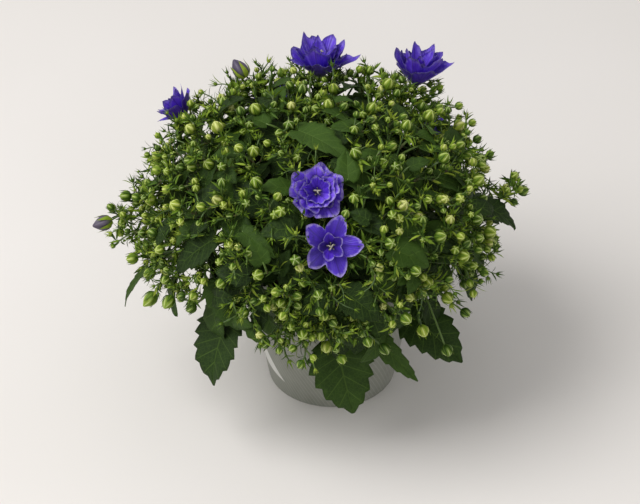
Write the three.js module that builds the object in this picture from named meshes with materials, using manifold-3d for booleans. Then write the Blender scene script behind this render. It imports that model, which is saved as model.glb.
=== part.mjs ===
// Potted bellflower: a double-flowered campanula in a 12 cm nursery pot.
// Millimetres, +Z up, origin at the middle of the pot's underside, front towards -Y.

import * as THREE from 'three';
import { mergeVertices } from 'three/addons/utils/BufferGeometryUtils.js';
import Module from 'manifold-3d';

const wasm = await Module();
wasm.setup();

// Pot
const POT_HEIGHT = 104;
const POT_TOP_RADIUS = 60;
const POT_BASE_RADIUS = 43;
const POT_WALL = 1.5;
const POT_FLOOR = 2;
const POT_RIM_HEIGHT = 9;
const POT_RIM_STEP = 1.6;
const POT_FACETS = 32;
const POT_EDGE = 1;
const DRAIN_HOLES = 6;
const DRAIN_HOLE_RADIUS = 4;
const DRAIN_HOLE_SIDES = 6;
const DRAIN_CIRCLE_RADIUS = 33;
const CLEARANCE = 0.3;

// Soil
const SOIL_TOP = 92;
const STEM_HOLE_DEPTH = 9;

// Mound of shoots: a dome that is squarer than an ellipsoid
const MOUND_CENTRE = new THREE.Vector3(-9, 0, 125);
const MOUND_RADIUS = 112;
const MOUND_RISE = 80;
const MOUND_SQUARENESS = 2.7;
const DOME_SHOOTS = 18;
const DOME_LAST_POLAR = 1.36;
const SHOOT_DEPTH = 0.78;
const CROWN_RADIUS = 36;
const LOW_FOOT_RADIUS = 46;
const GOLDEN_ANGLE = Math.PI * (3 - Math.sqrt(5));

// Stems: radii, then the handles of their curves as shares of the span, or in mm on a low shoot
const STEM_SIDES = 3;
const STEM_STEPS = 5;
const STEM_FOOT_RADIUS = 1.7;
const STEM_TIP_RADIUS = 1.0;
const TWIG_RADIUS = 0.75;
const STALK_RADIUS = 1;
const ROOT_RADIUS = 0.45;
const PETIOLE_RADIUS = 0.9;
const STEM_RISE = 0.45;
const STEM_RUN_IN = 0.35;
const LOW_STEM = { rise: 42, runIn: 16, drop: 22 };

// Twigs leave a stem between these samples of its length, earlier the further they reach
const STEM_SAMPLES = 24;
const FIRST_SAMPLE = 8;
const LOWEST_TWIG = 0.3;
const TWIG_SLANT = 0.75;
const LONGEST_TWIG = 62;
const TWIG_DELAYS = [0, 0.15, 0.3];
const LATEST_STALK = 0.9;

// Buds
const BUD_SPOTS = 131;
const BUD_LAST_POLAR = 1.95;
const BUD_FIRST_TURN = 1;
const BUD_DEPTHS = [0.93, 1.05];
const BUD_SIZES = [0.85, 1.2];
const BUD_RADIUS = 3.5;
const BUD_LEAN = 0.6;
const BUD_SEAT = 0.5;
const BUD_ROOM = 1.45;
const SEPALS = 5;
const TWIG_SIDES = 3;
const STAR_POINTS = SEPALS * 2;
const STAR_START = TWIG_SIDES * 2;

// Leaves
const BLADE_THICKNESS = 0.7;
const LEAF_TEETH = 4;
const LEAF_TRIES = 24;
const LEAF_SHARES = [0.55, 0.98];
const LEAF_LEAN = [0.1, 0.7];
const LEAF_ACROSS = new THREE.Vector3(0.31, 0.95, 0);
const PETIOLE_LENGTHS = [8, 13];
const BLADE_LENGTHS = [23, 33];
const BLADE_RATIO = 0.8;
const SMALL_LEAF = { arch: 0.08, fold: 0.2 };
const LARGE_LEAF = { arch: 0.06, fold: 0.18, lift: 0.6, backs: [0, 0.1, 0.2], shoots: 4 };
const PETIOLE_BEND = { share: 0.6, rise: 3, flatness: 0.8 };
const MOST_SIDEWAYS = 0.85;

// Whorls of narrow leaves
const WHORL_REACH = 15;
const WHORL_SLOPE = 0.5;
const WHORL_SHARES = [0.78, 0.7, 0.86, 0.62, 0.54];
const WHORL_HUB = { below: -1.6, above: 2.2, reach: 2.6, height: 0.6 };

// Petals
const PETAL_THICKNESS = 1;

const SEED = 10;
const WELD = 0.001;

const { degToRad: degrees, lerp } = THREE.MathUtils;
const vector = (x, y, z) => new THREE.Vector3(x, y, z);
const mix = (a, b, share) => a.clone().lerp(b, share);
const along = (origin, direction, distance) => origin.clone().addScaledVector(direction, distance);

// Low shoots that lean over the pot's rim: azimuth of the shoot, radius and height of its tip
const LOW_SHOOTS = [
  { azimuth: -84, reach: 88, height: 112 },
  { azimuth: -104, reach: 84, height: 106 },
  { azimuth: -132, reach: 90, height: 118 },
  { azimuth: -163, reach: 112, height: 112 },
  { azimuth: 172, reach: 122, height: 128 },
  { azimuth: 130, reach: 88, height: 112 },
  { azimuth: 96, reach: 86, height: 108 },
  { azimuth: 62, reach: 88, height: 110 },
  { azimuth: 28, reach: 90, height: 108 },
  { azimuth: -6, reach: 100, height: 120 },
  { azimuth: -44, reach: 84, height: 108 },
];

// Blooms: foot of the corolla, tilt from upright, azimuth of the tilt, radius and depth, and turn of the lobes
const BLOOMS = [
  { name: 'bloom_top', foot: [-9, 76, 186], tilt: 14, azimuth: 75, size: [25, 22], spread: 0.75, turn: 17 },
  { name: 'bloom_top_right', foot: [54, 68, 185], tilt: 16, azimuth: 40, size: [20, 21], spread: 0.5, turn: 17 },
  { name: 'bloom_centre', foot: [-9, -56, 186], tilt: 46, azimuth: -92, size: [18, 11], spread: 0.9, turn: 17 },
  { name: 'bloom_front', foot: [-1, -85, 167], tilt: 58, azimuth: -86, size: [19, 10], spread: 1, turn: 0 },
  { name: 'bloom_left', foot: [-96, 50, 172], tilt: 52, azimuth: 158, size: [16, 15], spread: 0.6, turn: 17 },
  { name: 'bloom_back', foot: [-40, 106, 138], tilt: 58, azimuth: 108, size: [20, 14], spread: 0.9, turn: 17 },
  { name: 'bloom_back_right', foot: [64, 90, 126], tilt: 62, azimuth: 48, size: [19, 15], spread: 0.7, turn: 17 },
];

// The furthest and largest buds
const FAR_BUDS = [
  { place: [-147, -10, 129], radius: 5 },
  { place: [-116, -49, 98], radius: 4.4 },
  { place: [-103, -70, 112], radius: 4 },
  { place: [-60, 76, 190], radius: 5.4 },
  { place: [124, 10, 141], radius: 3.6 },
  { place: [73, -84, 84], radius: 3.8 },
  { place: [-134, 4, 140], radius: 3.8 },
  { place: [-128, -34, 118], radius: 3.8 },
];

// Large leaves that show from the front or hang over the rim: foot and tip of the blade and its width
const LARGE_LEAVES = [
  { foot: [3, -67, 74], tip: [14, -89, 34], width: 44 },
  { foot: [-67, -64, 92], tip: [-77, -87, 56], width: 42 },
  { foot: [-72, -70, 128], tip: [-52, -86, 98], width: 30 },
  { foot: [50, -56, 90], tip: [84, -77, 68], width: 36 },
  { foot: [24, -74, 92], tip: [55, -92, 64], width: 16 },
  { foot: [98, -10, 144], tip: [119, -14, 128], width: 24 },
  { foot: [-121, -26, 103], tip: [-137, -28, 74], width: 9 },
  { foot: [-22, -12, 203], tip: [11, -38, 198], width: 25 },
  { foot: [-74, -70, 160], tip: [-99, -64, 130], width: 26 },
  { foot: [-56, -72, 168], tip: [-35, -88, 160], width: 15 },
  { foot: [8, -97, 140], tip: [30, -103, 123], width: 24 },
  { foot: [70, 66, 92], tip: [82, 88, 54], width: 42 },
  { foot: [-6, 74, 88], tip: [6, 94, 48], width: 40 },
  { foot: [-74, 58, 90], tip: [-88, 76, 56], width: 38 },
  { foot: [94, 30, 112], tip: [122, 42, 92], width: 34 },
];

// Seeded random numbers
function randomFrom(seed) {
  let state = seed;
  return () => {
    state = (Math.imul(state, 1664525) + 1013904223) >>> 0;
    return state / 4294967296;
  };
}

const random = randomFrom(SEED);
const between = ([low, high]) => low + (high - low) * random();

// Polar angle at a share of the dome's area, down to a last polar angle
function domePolar(share, last) {
  return Math.acos(1 - share * (1 - Math.cos(last)));
}

function onMound(polar, azimuth, depth) {
  const flat = Math.sin(polar);
  const tall = Math.cos(polar);
  const power = MOUND_SQUARENESS;
  const reach = depth * (flat ** power + Math.abs(tall) ** power) ** (-1 / power);
  return vector(
    MOUND_CENTRE.x + flat * Math.cos(azimuth) * MOUND_RADIUS * reach,
    MOUND_CENTRE.y + flat * Math.sin(azimuth) * MOUND_RADIUS * reach,
    MOUND_CENTRE.z + tall * MOUND_RISE * reach,
  );
}

// Direction in which the mound faces at a point
function outward(point) {
  const p = point.clone().sub(MOUND_CENTRE);
  return vector(p.x / MOUND_RADIUS ** 2, p.y / MOUND_RADIUS ** 2, p.z / MOUND_RISE ** 2).normalize();
}

// What is taken: balls along stems, buds and blades, each owned by a node
const BALL_SPACING = 3;
const BALL_MARGIN = 0.6;
const ROOT_REACH = 9;
const POT_MARGIN = 1;
const taken = [];

// A new piece may touch its own shoot only where it is rooted
function isClear(balls, owner, root) {
  return balls.every((ball) => clearOfPot(ball) && taken.every((other) => {
    if (other.owner === owner && ball.at.distanceTo(root) < ROOT_REACH) return true;
    return ball.at.distanceTo(other.at) > ball.radius + other.radius + CLEARANCE;
  }));
}

function potRadiusAt(height) {
  if (height > POT_HEIGHT || height < 0) return 0;
  const wall = POT_BASE_RADIUS + (POT_TOP_RADIUS - POT_BASE_RADIUS) * height / POT_HEIGHT;
  const rimFoot = POT_HEIGHT - POT_RIM_HEIGHT - 2 * POT_MARGIN;
  return height > rimFoot ? POT_TOP_RADIUS + POT_RIM_STEP : wall;
}

function clearOfPot(ball) {
  const reach = Math.hypot(ball.at.x, ball.at.y);
  const low = ball.at.z - ball.radius;
  return low > POT_HEIGHT + POT_MARGIN || reach - ball.radius > potRadiusAt(low) + POT_MARGIN;
}

function take(balls, owner) {
  for (const ball of balls) taken.push({ ...ball, owner });
}

function ballsAlong(points, radius) {
  const balls = [];
  for (let i = 0; i + 1 < points.length; i++) {
    const steps = Math.max(1, Math.ceil(points[i].distanceTo(points[i + 1]) / BALL_SPACING));
    for (let k = 0; k <= steps; k++) {
      balls.push({ at: mix(points[i], points[i + 1], k / steps), radius: radius + BALL_MARGIN });
    }
  }
  return balls;
}

// Blades: unit vectors along the blade, across it and out of its upper face
function makeLeaf({ foot, tip, width, facing, arch, fold }) {
  const forward = tip.clone().sub(foot).normalize();
  const side = forward.clone().cross(facing).normalize();
  const normal = side.clone().cross(forward).normalize();
  return { foot, width, arch, fold, length: foot.distanceTo(tip), forward, side, normal };
}

// Point of a leaf's upper face, or below it: u runs from foot to tip, v across in half widths
function bladePoint(leaf, u, v, below = 0) {
  const half = leaf.width / 2;
  const rise = leaf.arch * 4 * u * (1 - u) * leaf.length + leaf.fold * Math.abs(v) * half;
  const middle = along(leaf.foot, leaf.forward, u * leaf.length);
  return along(along(middle, leaf.side, v * half), leaf.normal, rise - below);
}

// Half width of a heart-shaped blade at u, as a share of its greatest half width
const WIDEST = 0.25;
const TAPER = 1.5;

function bladeShare(u) {
  if (u < WIDEST) return 1 - WIDEST + u;
  return 1 - ((u - WIDEST) / (1 - WIDEST)) ** TAPER;
}

const BLADE_STEP = 4.5;
const BLADE_BALL = 2.6;

function bladeBalls(leaf) {
  const balls = [];
  const rows = Math.ceil(leaf.length / BLADE_STEP);
  for (let i = 0; i <= rows; i++) {
    const u = i / rows;
    const columns = Math.ceil(leaf.width * bladeShare(u) / BLADE_STEP / 2);
    for (let k = -columns; k <= columns; k++) {
      const v = columns ? bladeShare(u) * k / columns : 0;
      balls.push({ at: bladePoint(leaf, u, v), radius: BLADE_BALL });
    }
  }
  return balls;
}

// Shoots
function domeShoot(index) {
  const share = (index + 0.5) / DOME_SHOOTS;
  const azimuth = index * GOLDEN_ANGLE;
  const tip = onMound(domePolar(share, DOME_LAST_POLAR), azimuth, SHOOT_DEPTH);
  const crown = CROWN_RADIUS * Math.sqrt(share);
  const foot = vector(crown * Math.cos(azimuth), crown * Math.sin(azimuth), SOIL_TOP + 1);
  const span = foot.distanceTo(tip);
  const leaving = along(foot, vector(0, 0, 1), span * STEM_RISE);
  const arriving = along(tip, outward(tip), -span * STEM_RUN_IN);
  return { foot, tip, curve: new THREE.CubicBezierCurve3(foot, leaving, arriving, tip) };
}

function lowShoot({ azimuth, reach, height }) {
  const ray = vector(Math.cos(degrees(azimuth)), Math.sin(degrees(azimuth)), 0);
  const foot = ray.clone().multiplyScalar(LOW_FOOT_RADIUS).setZ(SOIL_TOP + 1);
  const tip = ray.clone().multiplyScalar(reach).setZ(height);
  const leaving = along(foot, vector(0, 0, 1), LOW_STEM.rise);
  const arriving = along(along(tip, ray, -LOW_STEM.runIn), vector(0, 0, 1), LOW_STEM.drop);
  return { foot, tip, curve: new THREE.CubicBezierCurve3(foot, leaving, arriving, tip) };
}

function makeShoots() {
  const shoots = [];
  for (let i = 0; i < DOME_SHOOTS; i++) shoots.push(domeShoot(i));
  for (const low of LOW_SHOOTS) shoots.push(lowShoot(low));
  shoots.forEach((shoot, i) => {
    shoot.name = `shoot_${String(i + 1).padStart(2, '0')}`;
    shoot.twigs = [];
    shoot.leaves = [];
    shoot.whorls = [];
    shoot.length = shoot.curve.getLength();
    shoot.spine = shoot.curve.getPoints(STEM_STEPS);
    take(ballsAlong(shoot.spine, STEM_FOOT_RADIUS), shoot.name);
  });
  return shoots;
}

// Point of a shoot's stem at a share of its length, on the straight stretches that it is built of
function spinePoint(shoot, share) {
  const step = Math.min(STEM_STEPS - 1, Math.floor(share * STEM_STEPS));
  return mix(shoot.spine[step], shoot.spine[step + 1], share * STEM_STEPS - step);
}

// Share of a shoot's stem where a twig to a place leaves it, at a slant
function twigStart(shoot, place) {
  let nearest = 1;
  let gap = Infinity;
  for (let k = FIRST_SAMPLE; k <= STEM_SAMPLES; k++) {
    const distance = spinePoint(shoot, k / STEM_SAMPLES).distanceTo(place);
    if (distance < gap) {
      gap = distance;
      nearest = k / STEM_SAMPLES;
    }
  }
  return Math.max(LOWEST_TWIG, nearest - TWIG_SLANT * gap / shoot.length);
}

function nearestShoots(shoots, place) {
  return [...shoots].sort((a, b) => a.tip.distanceTo(place) - b.tip.distanceTo(place));
}

function bloomAxis(bloom) {
  const tilt = degrees(bloom.tilt);
  const azimuth = degrees(bloom.azimuth);
  return vector(Math.sin(tilt) * Math.cos(azimuth), Math.sin(tilt) * Math.sin(azimuth), Math.cos(tilt));
}

// Room for a bloom: a ball in its heart and a ring of smaller ones near its rim
const HEART = { depth: 0.5, radius: 0.6 };
const RIM_BALLS = { count: 10, depth: 0.75, reach: 0.7, radius: 0.36 };

function placeBloom(shoots, bloom) {
  const foot = vector(...bloom.foot);
  const [radius, depth] = bloom.size;
  const axis = bloomAxis(bloom);
  const shoot = nearestShoots(shoots, foot)[0];
  const end = along(foot, axis, -CLEARANCE);
  const start = spinePoint(shoot, Math.min(LATEST_STALK, twigStart(shoot, end)));
  shoot.twigs.push({ start, end: 'calyx', axis, at: end });
  take(ballsAlong([start, end], STALK_RADIUS), shoot.name);
  take([{ at: along(foot, axis, depth * HEART.depth), radius: radius * HEART.radius }], bloom.name);
  const side = vector(0, 0, 1).cross(axis).normalize();
  const across = axis.clone().cross(side);
  const middle = along(foot, axis, depth * RIM_BALLS.depth);
  for (let k = 0; k < RIM_BALLS.count; k++) {
    const turn = k * 2 * Math.PI / RIM_BALLS.count;
    const reach = radius * RIM_BALLS.reach;
    const at = along(along(middle, side, Math.cos(turn) * reach), across, Math.sin(turn) * reach);
    take([{ at, radius: radius * RIM_BALLS.radius }], bloom.name);
  }
}

function placeLeaf(shoot, leaf, start) {
  const bend = along(mix(start, leaf.foot, PETIOLE_BEND.share), vector(0, 0, 1), PETIOLE_BEND.rise);
  const direction = leaf.foot.clone().sub(start).normalize();
  if (Math.abs(direction.dot(leaf.side)) > MOST_SIDEWAYS) return false;
  const balls = [...ballsAlong([start, bend, leaf.foot], PETIOLE_RADIUS), ...bladeBalls(leaf)];
  if (!isClear(balls, shoot.name, start)) return false;
  take(balls, shoot.name);
  shoot.leaves.push({ ...leaf, petiole: [start, bend] });
  return true;
}

function placeLargeLeaf(shoots, large) {
  const foot = vector(...large.foot);
  const tip = vector(...large.tip);
  const facing = outward(foot).add(vector(0, 0, LARGE_LEAF.lift));
  const leaf = makeLeaf({ ...LARGE_LEAF, foot, tip, facing, width: large.width });
  for (const shoot of nearestShoots(shoots, foot).slice(0, LARGE_LEAF.shoots)) {
    for (const back of LARGE_LEAF.backs) {
      const start = spinePoint(shoot, Math.max(LOWEST_TWIG, twigStart(shoot, foot) - back));
      if (placeLeaf(shoot, leaf, start)) return;
    }
  }
}

// A leaf up a shoot, set round the stem at random where it is clear
function placeStemLeaf(shoot) {
  for (let tries = 0; tries < LEAF_TRIES; tries++) {
    const start = spinePoint(shoot, between(LEAF_SHARES));
    const facing = outward(start);
    const turn = between([0, Math.PI * 2]);
    const side = facing.clone().cross(LEAF_ACROSS).normalize();
    const flat = side.clone().multiplyScalar(Math.cos(turn))
      .addScaledVector(facing.clone().cross(side), Math.sin(turn));
    const heading = flat.addScaledVector(facing, between(LEAF_LEAN)).normalize();
    const foot = along(start, heading, between(PETIOLE_LENGTHS));
    const length = between(BLADE_LENGTHS);
    const tip = along(foot, heading, length);
    const leaf = makeLeaf({ ...SMALL_LEAF, foot, tip, facing, width: length * BLADE_RATIO });
    if (placeLeaf(shoot, leaf, start)) return;
  }
}

// Whorl of narrow pointed leaves round a stem
function placeWhorl(shoot) {
  for (const share of WHORL_SHARES) {
    const middle = spinePoint(shoot, share);
    const axis = spinePoint(shoot, share + 0.05).sub(middle).normalize();
    const frame = frameOf(axis).setPosition(middle);
    const balls = [];
    for (let k = 0; k < SEPALS; k++) {
      const turn = k * 2 * Math.PI / SEPALS;
      const ray = vector(Math.cos(turn), Math.sin(turn), WHORL_SLOPE).multiplyScalar(WHORL_REACH);
      balls.push(...ballsAlong([middle, ray.applyMatrix4(frame)], TWIG_RADIUS));
    }
    if (isClear(balls, shoot.name, middle)) {
      take(balls, shoot.name);
      shoot.whorls.push(frame);
      return;
    }
  }
}

// Sets a bud on the nearest shoot whose twig to it finds room, leaving early or late
function placeBud(shoots, place, radius) {
  for (const shoot of nearestShoots(shoots, place).slice(0, 3)) {
    for (const delay of TWIG_DELAYS) {
      const start = spinePoint(shoot, Math.min(1, twigStart(shoot, place) + delay));
      const heading = place.clone().sub(start).normalize();
      const axis = heading.addScaledVector(outward(place), BUD_LEAN).normalize();
      const balls = [...ballsAlong([start, along(place, axis, -radius * BUD_SEAT)], TWIG_RADIUS),
        { at: place, radius: radius * BUD_ROOM }];
      if (start.distanceTo(place) < LONGEST_TWIG && isClear(balls, shoot.name, start)) {
        take(balls, shoot.name);
        shoot.twigs.push({ start, end: 'bud', at: place, axis, radius });
        return;
      }
    }
  }
}

function grow() {
  const shoots = makeShoots();
  for (const bloom of BLOOMS) placeBloom(shoots, bloom);
  for (const large of LARGE_LEAVES) placeLargeLeaf(shoots, large);
  for (const shoot of shoots) placeStemLeaf(shoot);
  for (const shoot of shoots) placeWhorl(shoot);
  for (const bud of FAR_BUDS) placeBud(shoots, vector(...bud.place), bud.radius);
  for (let i = 0; i < BUD_SPOTS; i++) {
    const polar = domePolar((i + 0.5) / BUD_SPOTS, BUD_LAST_POLAR);
    const place = onMound(polar, i * GOLDEN_ANGLE + BUD_FIRST_TURN, between(BUD_DEPTHS));
    placeBud(shoots, place, BUD_RADIUS * between(BUD_SIZES));
  }
  return shoots;
}

// Meshes
function geometryFrom(points, triangles) {
  const geometry = new THREE.BufferGeometry();
  const coordinates = points.flatMap((p) => [p.x, p.y, p.z]);
  geometry.setAttribute('position', new THREE.Float32BufferAttribute(coordinates, 3));
  geometry.setIndex(triangles.flat());
  return geometry;
}

function solid(geometry) {
  const bare = geometry.index ? geometry.toNonIndexed() : geometry.clone();
  bare.deleteAttribute('normal');
  bare.deleteAttribute('uv');
  const merged = mergeVertices(bare, WELD);
  return new wasm.Manifold(new wasm.Mesh({
    numProp: 3,
    vertProperties: merged.attributes.position.array,
    triVerts: new Uint32Array(merged.index.array),
  }));
}

function meshFrom(manifold) {
  const { vertProperties, triVerts } = manifold.getMesh();
  const geometry = new THREE.BufferGeometry();
  geometry.setAttribute('position', new THREE.BufferAttribute(vertProperties, 3));
  geometry.setIndex(new THREE.BufferAttribute(triVerts, 1));
  return geometry;
}

// The outer skin alone: fills a hollow sealed by joining and drops loose scraps
function outerSkin(manifold) {
  const larger = (best, part) => (part.volume() > best.volume() ? part : best);
  const largest = (body) => body.decompose().reduce(larger);
  return largest(solid(meshFrom(largest(manifold))));
}

// Closed tube along points, with a radius at each point
function tube(points, radii, sides) {
  const vertices = [];
  const triangles = [];
  let across = vector(1, 0, 0);
  points.forEach((point, i) => {
    const before = points[Math.max(0, i - 1)];
    const after = points[Math.min(points.length - 1, i + 1)];
    const forward = after.clone().sub(before).normalize();
    const side = forward.clone().cross(across).normalize();
    across = side.clone().cross(forward).normalize();
    for (let k = 0; k < sides; k++) {
      const turn = k * 2 * Math.PI / sides;
      const high = along(point, across, Math.cos(turn) * radii[i]);
      vertices.push(along(high, side, Math.sin(turn) * radii[i]));
    }
  });
  for (let i = 0; i + 1 < points.length; i++) {
    for (let k = 0; k < sides; k++) {
      const a = i * sides + k;
      const b = i * sides + (k + 1) % sides;
      triangles.push([a, b, b + sides], [a, b + sides, a + sides]);
    }
  }
  const last = (points.length - 1) * sides;
  for (let k = 1; k + 1 < sides; k++) {
    triangles.push([0, k + 1, k], [last, last + k, last + k + 1]);
  }
  return geometryFrom(vertices, triangles);
}

// Frame of three unit vectors whose last one is the axis
const NEARLY_UPRIGHT = 0.95;

function frameOf(axis) {
  const reference = Math.abs(axis.z) > NEARLY_UPRIGHT ? vector(1, 0, 0) : vector(0, 0, 1);
  const side = reference.clone().cross(axis).normalize();
  return new THREE.Matrix4().makeBasis(side, axis.clone().cross(side), axis);
}

// Twig and its star of sepals, in the frame of the head. The star has a reach and a height for its
// points and for the notches between them.
function twigWithStar(root, neckHeight, twigRadius, star) {
  const points = [];
  const triangles = [];
  for (const [middle, radius] of [[root, ROOT_RADIUS], [vector(0, 0, neckHeight), twigRadius]]) {
    for (let j = 0; j < TWIG_SIDES; j++) {
      const turn = j * 2 * Math.PI / TWIG_SIDES;
      points.push(middle.clone().add(vector(Math.cos(turn) * radius, Math.sin(turn) * radius, 0)));
    }
  }
  for (let k = 0; k < STAR_POINTS; k++) {
    const turn = k * 2 * Math.PI / STAR_POINTS;
    const reach = star.reach[k % 2];
    points.push(vector(Math.cos(turn) * reach, Math.sin(turn) * reach, star.height[k % 2]));
  }
  triangles.push([0, 2, 1]);
  for (let j = 0; j < TWIG_SIDES; j++) {
    const next = (j + 1) % TWIG_SIDES;
    triangles.push([j, next, next + TWIG_SIDES], [j, next + TWIG_SIDES, j + TWIG_SIDES]);
  }
  const neckOf = (k) => TWIG_SIDES + Math.round(k * TWIG_SIDES / STAR_POINTS) % TWIG_SIDES;
  for (let k = 0; k < STAR_POINTS; k++) {
    const here = STAR_START + k;
    const next = STAR_START + (k + 1) % STAR_POINTS;
    triangles.push([neckOf(k), next, here]);
    if (neckOf(k) !== neckOf(k + 1)) triangles.push([neckOf(k), neckOf(k + 1), next]);
  }
  return { points, triangles };
}

// Bud one millimetre in radius: its neck, belly and tip, and the star of its calyx
const BUD = { neck: -0.8, belly: 0.3, tip: 1.15, star: { reach: [1.4, 0.62], height: [0.25, -0.45] } };

// Round bud in a calyx of narrow pointed sepals, at the end of its twig
function budGeometry(radius, root) {
  const star = { reach: BUD.star.reach.map((r) => r * radius), height: BUD.star.height.map((h) => h * radius) };
  const { points, triangles } = twigWithStar(root, radius * BUD.neck, TWIG_RADIUS, star);
  const belly = points.length;
  for (let k = 0; k < SEPALS; k++) {
    const turn = (k * 2 + 1) * Math.PI / SEPALS;
    points.push(vector(Math.cos(turn) * radius, Math.sin(turn) * radius, radius * BUD.belly));
  }
  points.push(vector(0, 0, radius * BUD.tip));
  const top = points.length - 1;
  for (let k = 0; k < SEPALS; k++) {
    const tip = STAR_START + 2 * k;
    const notch = tip + 1;
    const nextTip = STAR_START + (2 * k + 2) % STAR_POINTS;
    const nextBelly = belly + (k + 1) % SEPALS;
    triangles.push([tip, notch, belly + k], [notch, nextTip, belly + k], [nextTip, nextBelly, belly + k]);
    triangles.push([belly + k, nextBelly, top]);
  }
  return geometryFrom(points, triangles);
}

// Whorl of narrow leaves: a star whose points rise and run out thin
function whorlGeometry() {
  const points = [vector(0, 0, WHORL_HUB.below), vector(0, 0, WHORL_HUB.above)];
  const triangles = [];
  const reaches = [WHORL_REACH, WHORL_HUB.reach];
  const heights = [WHORL_REACH * WHORL_SLOPE, WHORL_HUB.height];
  for (let k = 0; k < STAR_POINTS; k++) {
    const turn = k * 2 * Math.PI / STAR_POINTS;
    points.push(vector(Math.cos(turn) * reaches[k % 2], Math.sin(turn) * reaches[k % 2], heights[k % 2]));
  }
  for (let k = 0; k < STAR_POINTS; k++) {
    const a = 2 + k;
    const b = 2 + (k + 1) % STAR_POINTS;
    triangles.push([0, b, a], [1, a, b]);
  }
  return geometryFrom(points, triangles);
}

// Flat star of sepals under a bloom, at the end of its stalk
const CALYX = { neck: -3.4, star: { reach: [8, 2.6], height: [0.6, -1.2] } };

function calyxGeometry(root) {
  const { points, triangles } = twigWithStar(root, CALYX.neck, STALK_RADIUS, CALYX.star);
  const top = points.length;
  points.push(vector(0, 0, 0));
  for (let k = 0; k < STAR_POINTS; k++) {
    triangles.push([STAR_START + k, STAR_START + (k + 1) % STAR_POINTS, top]);
  }
  return geometryFrom(points, triangles);
}

// Heart-shaped blade with coarse teeth
const HALF_OUTLINE = new THREE.SplineCurve([
  new THREE.Vector2(0.02, 0), new THREE.Vector2(-0.1, 0.45), new THREE.Vector2(0.1, 0.97),
  new THREE.Vector2(0.42, 0.88), new THREE.Vector2(0.75, 0.42), new THREE.Vector2(1, 0),
]);
const NOTCH_DEPTH = 0.16;
const NOTCH_SHIFT = 0.02;
const MIDRIB = [0.3, 0.62, 1];

// Points of one half of the outline between the foot and the tip, a notch after each tooth
function halfOutline() {
  const outline = [];
  const steps = LEAF_TEETH * 2;
  for (let k = 1; k < steps; k++) {
    const p = HALF_OUTLINE.getPoint(k / steps);
    const isNotch = k % 2 === 1;
    outline.push({ u: isNotch ? p.x + NOTCH_SHIFT : p.x, v: isNotch ? p.y * (1 - NOTCH_DEPTH) : p.y });
  }
  return outline;
}

// Ring of four points round a petiole, set square to its direction and to the blade's side
function petioleRing(point, direction, side, radius) {
  const across = along(side, direction, -side.dot(direction)).normalize();
  const up = across.clone().cross(direction);
  const corners = [[1, 1], [-1, 1], [-1, -1], [1, -1]];
  const height = radius * PETIOLE_BEND.flatness;
  return corners.map(([x, y]) => along(along(point, across, x * radius), up, y * height));
}

// Faces of a blade's outline between its midrib and each half of its edge, as [a, b, c]
function bladeFaces(flat, halves, [right, left, rib, tip]) {
  const faces = [[right, rib, left]];
  halves.forEach((half, h) => {
    const turned = (a, b, c) => faces.push(h ? [a, c, b] : [a, b, c]);
    const chain = [h ? left : right, ...half, tip];
    const spine = [chain[0], rib, rib + 1, tip];
    const halfway = (list, k) => (flat[list[k]].u + flat[list[k + 1]].u) / 2;
    let at = 0;
    for (let k = 0; k + 1 < chain.length; k++) {
      while (at + 2 < spine.length && k > 0 && halfway(chain, k) > halfway(spine, at)) {
        turned(spine[at], chain[k], spine[at + 1]);
        at += 1;
      }
      if (chain[k] !== spine[at]) turned(spine[at], chain[k], chain[k + 1]);
    }
  });
  return faces;
}

// Blade and petiole in one skin: both faces are split alike, and the petiole grows from the foot
function leafGeometry(leaf) {
  const footShare = PETIOLE_RADIUS / (leaf.width / 2);
  const flat = [{ u: 0, v: footShare }, { u: 0, v: -footShare }, ...MIDRIB.map((u) => ({ u, v: 0 }))];
  const [right, left, rib, tip] = [0, 1, 2, 1 + MIDRIB.length];
  const halves = [1, -1].map((sign) => halfOutline().map((p) => flat.push({ u: p.u, v: p.v * sign }) - 1));
  const count = flat.length;
  const points = [0, BLADE_THICKNESS].flatMap((below) => flat.map((p) => bladePoint(leaf, p.u, p.v, below)));
  const triangles = [];
  for (const [a, b, c] of bladeFaces(flat, halves, [right, left, rib, tip])) {
    triangles.push([a, b, c], [a + count, c + count, b + count]);
  }
  const rim = [right, ...halves[0], tip, ...[...halves[1]].reverse(), left];
  for (let k = 0; k + 1 < rim.length; k++) {
    const [a, b] = [rim[k], rim[k + 1]];
    triangles.push([a + count, b + count, b], [a + count, b, a]);
  }
  addPetiole(leaf, points, triangles, [right, left, left + count, right + count]);
  return geometryFrom(points, triangles);
}

function addPetiole(leaf, points, triangles, foot) {
  const route = [...leaf.petiole].reverse();
  let ring = foot;
  route.forEach((point, i) => {
    const behind = i ? route[i - 1] : leaf.foot;
    const ahead = route[Math.min(i + 1, route.length - 1)];
    const direction = behind.clone().sub(ahead).normalize();
    const next = points.length;
    const radius = i < route.length - 1 ? PETIOLE_RADIUS : ROOT_RADIUS;
    points.push(...petioleRing(point, direction, leaf.side, radius));
    for (let k = 0; k < 4; k++) {
      const after = (k + 1) % 4;
      triangles.push([ring[k], ring[after], next + after], [ring[k], next + after, next + k]);
    }
    ring = [0, 1, 2, 3].map((k) => next + k);
  });
  triangles.push([ring[0], ring[1], ring[2]], [ring[0], ring[2], ring[3]]);
}

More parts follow.
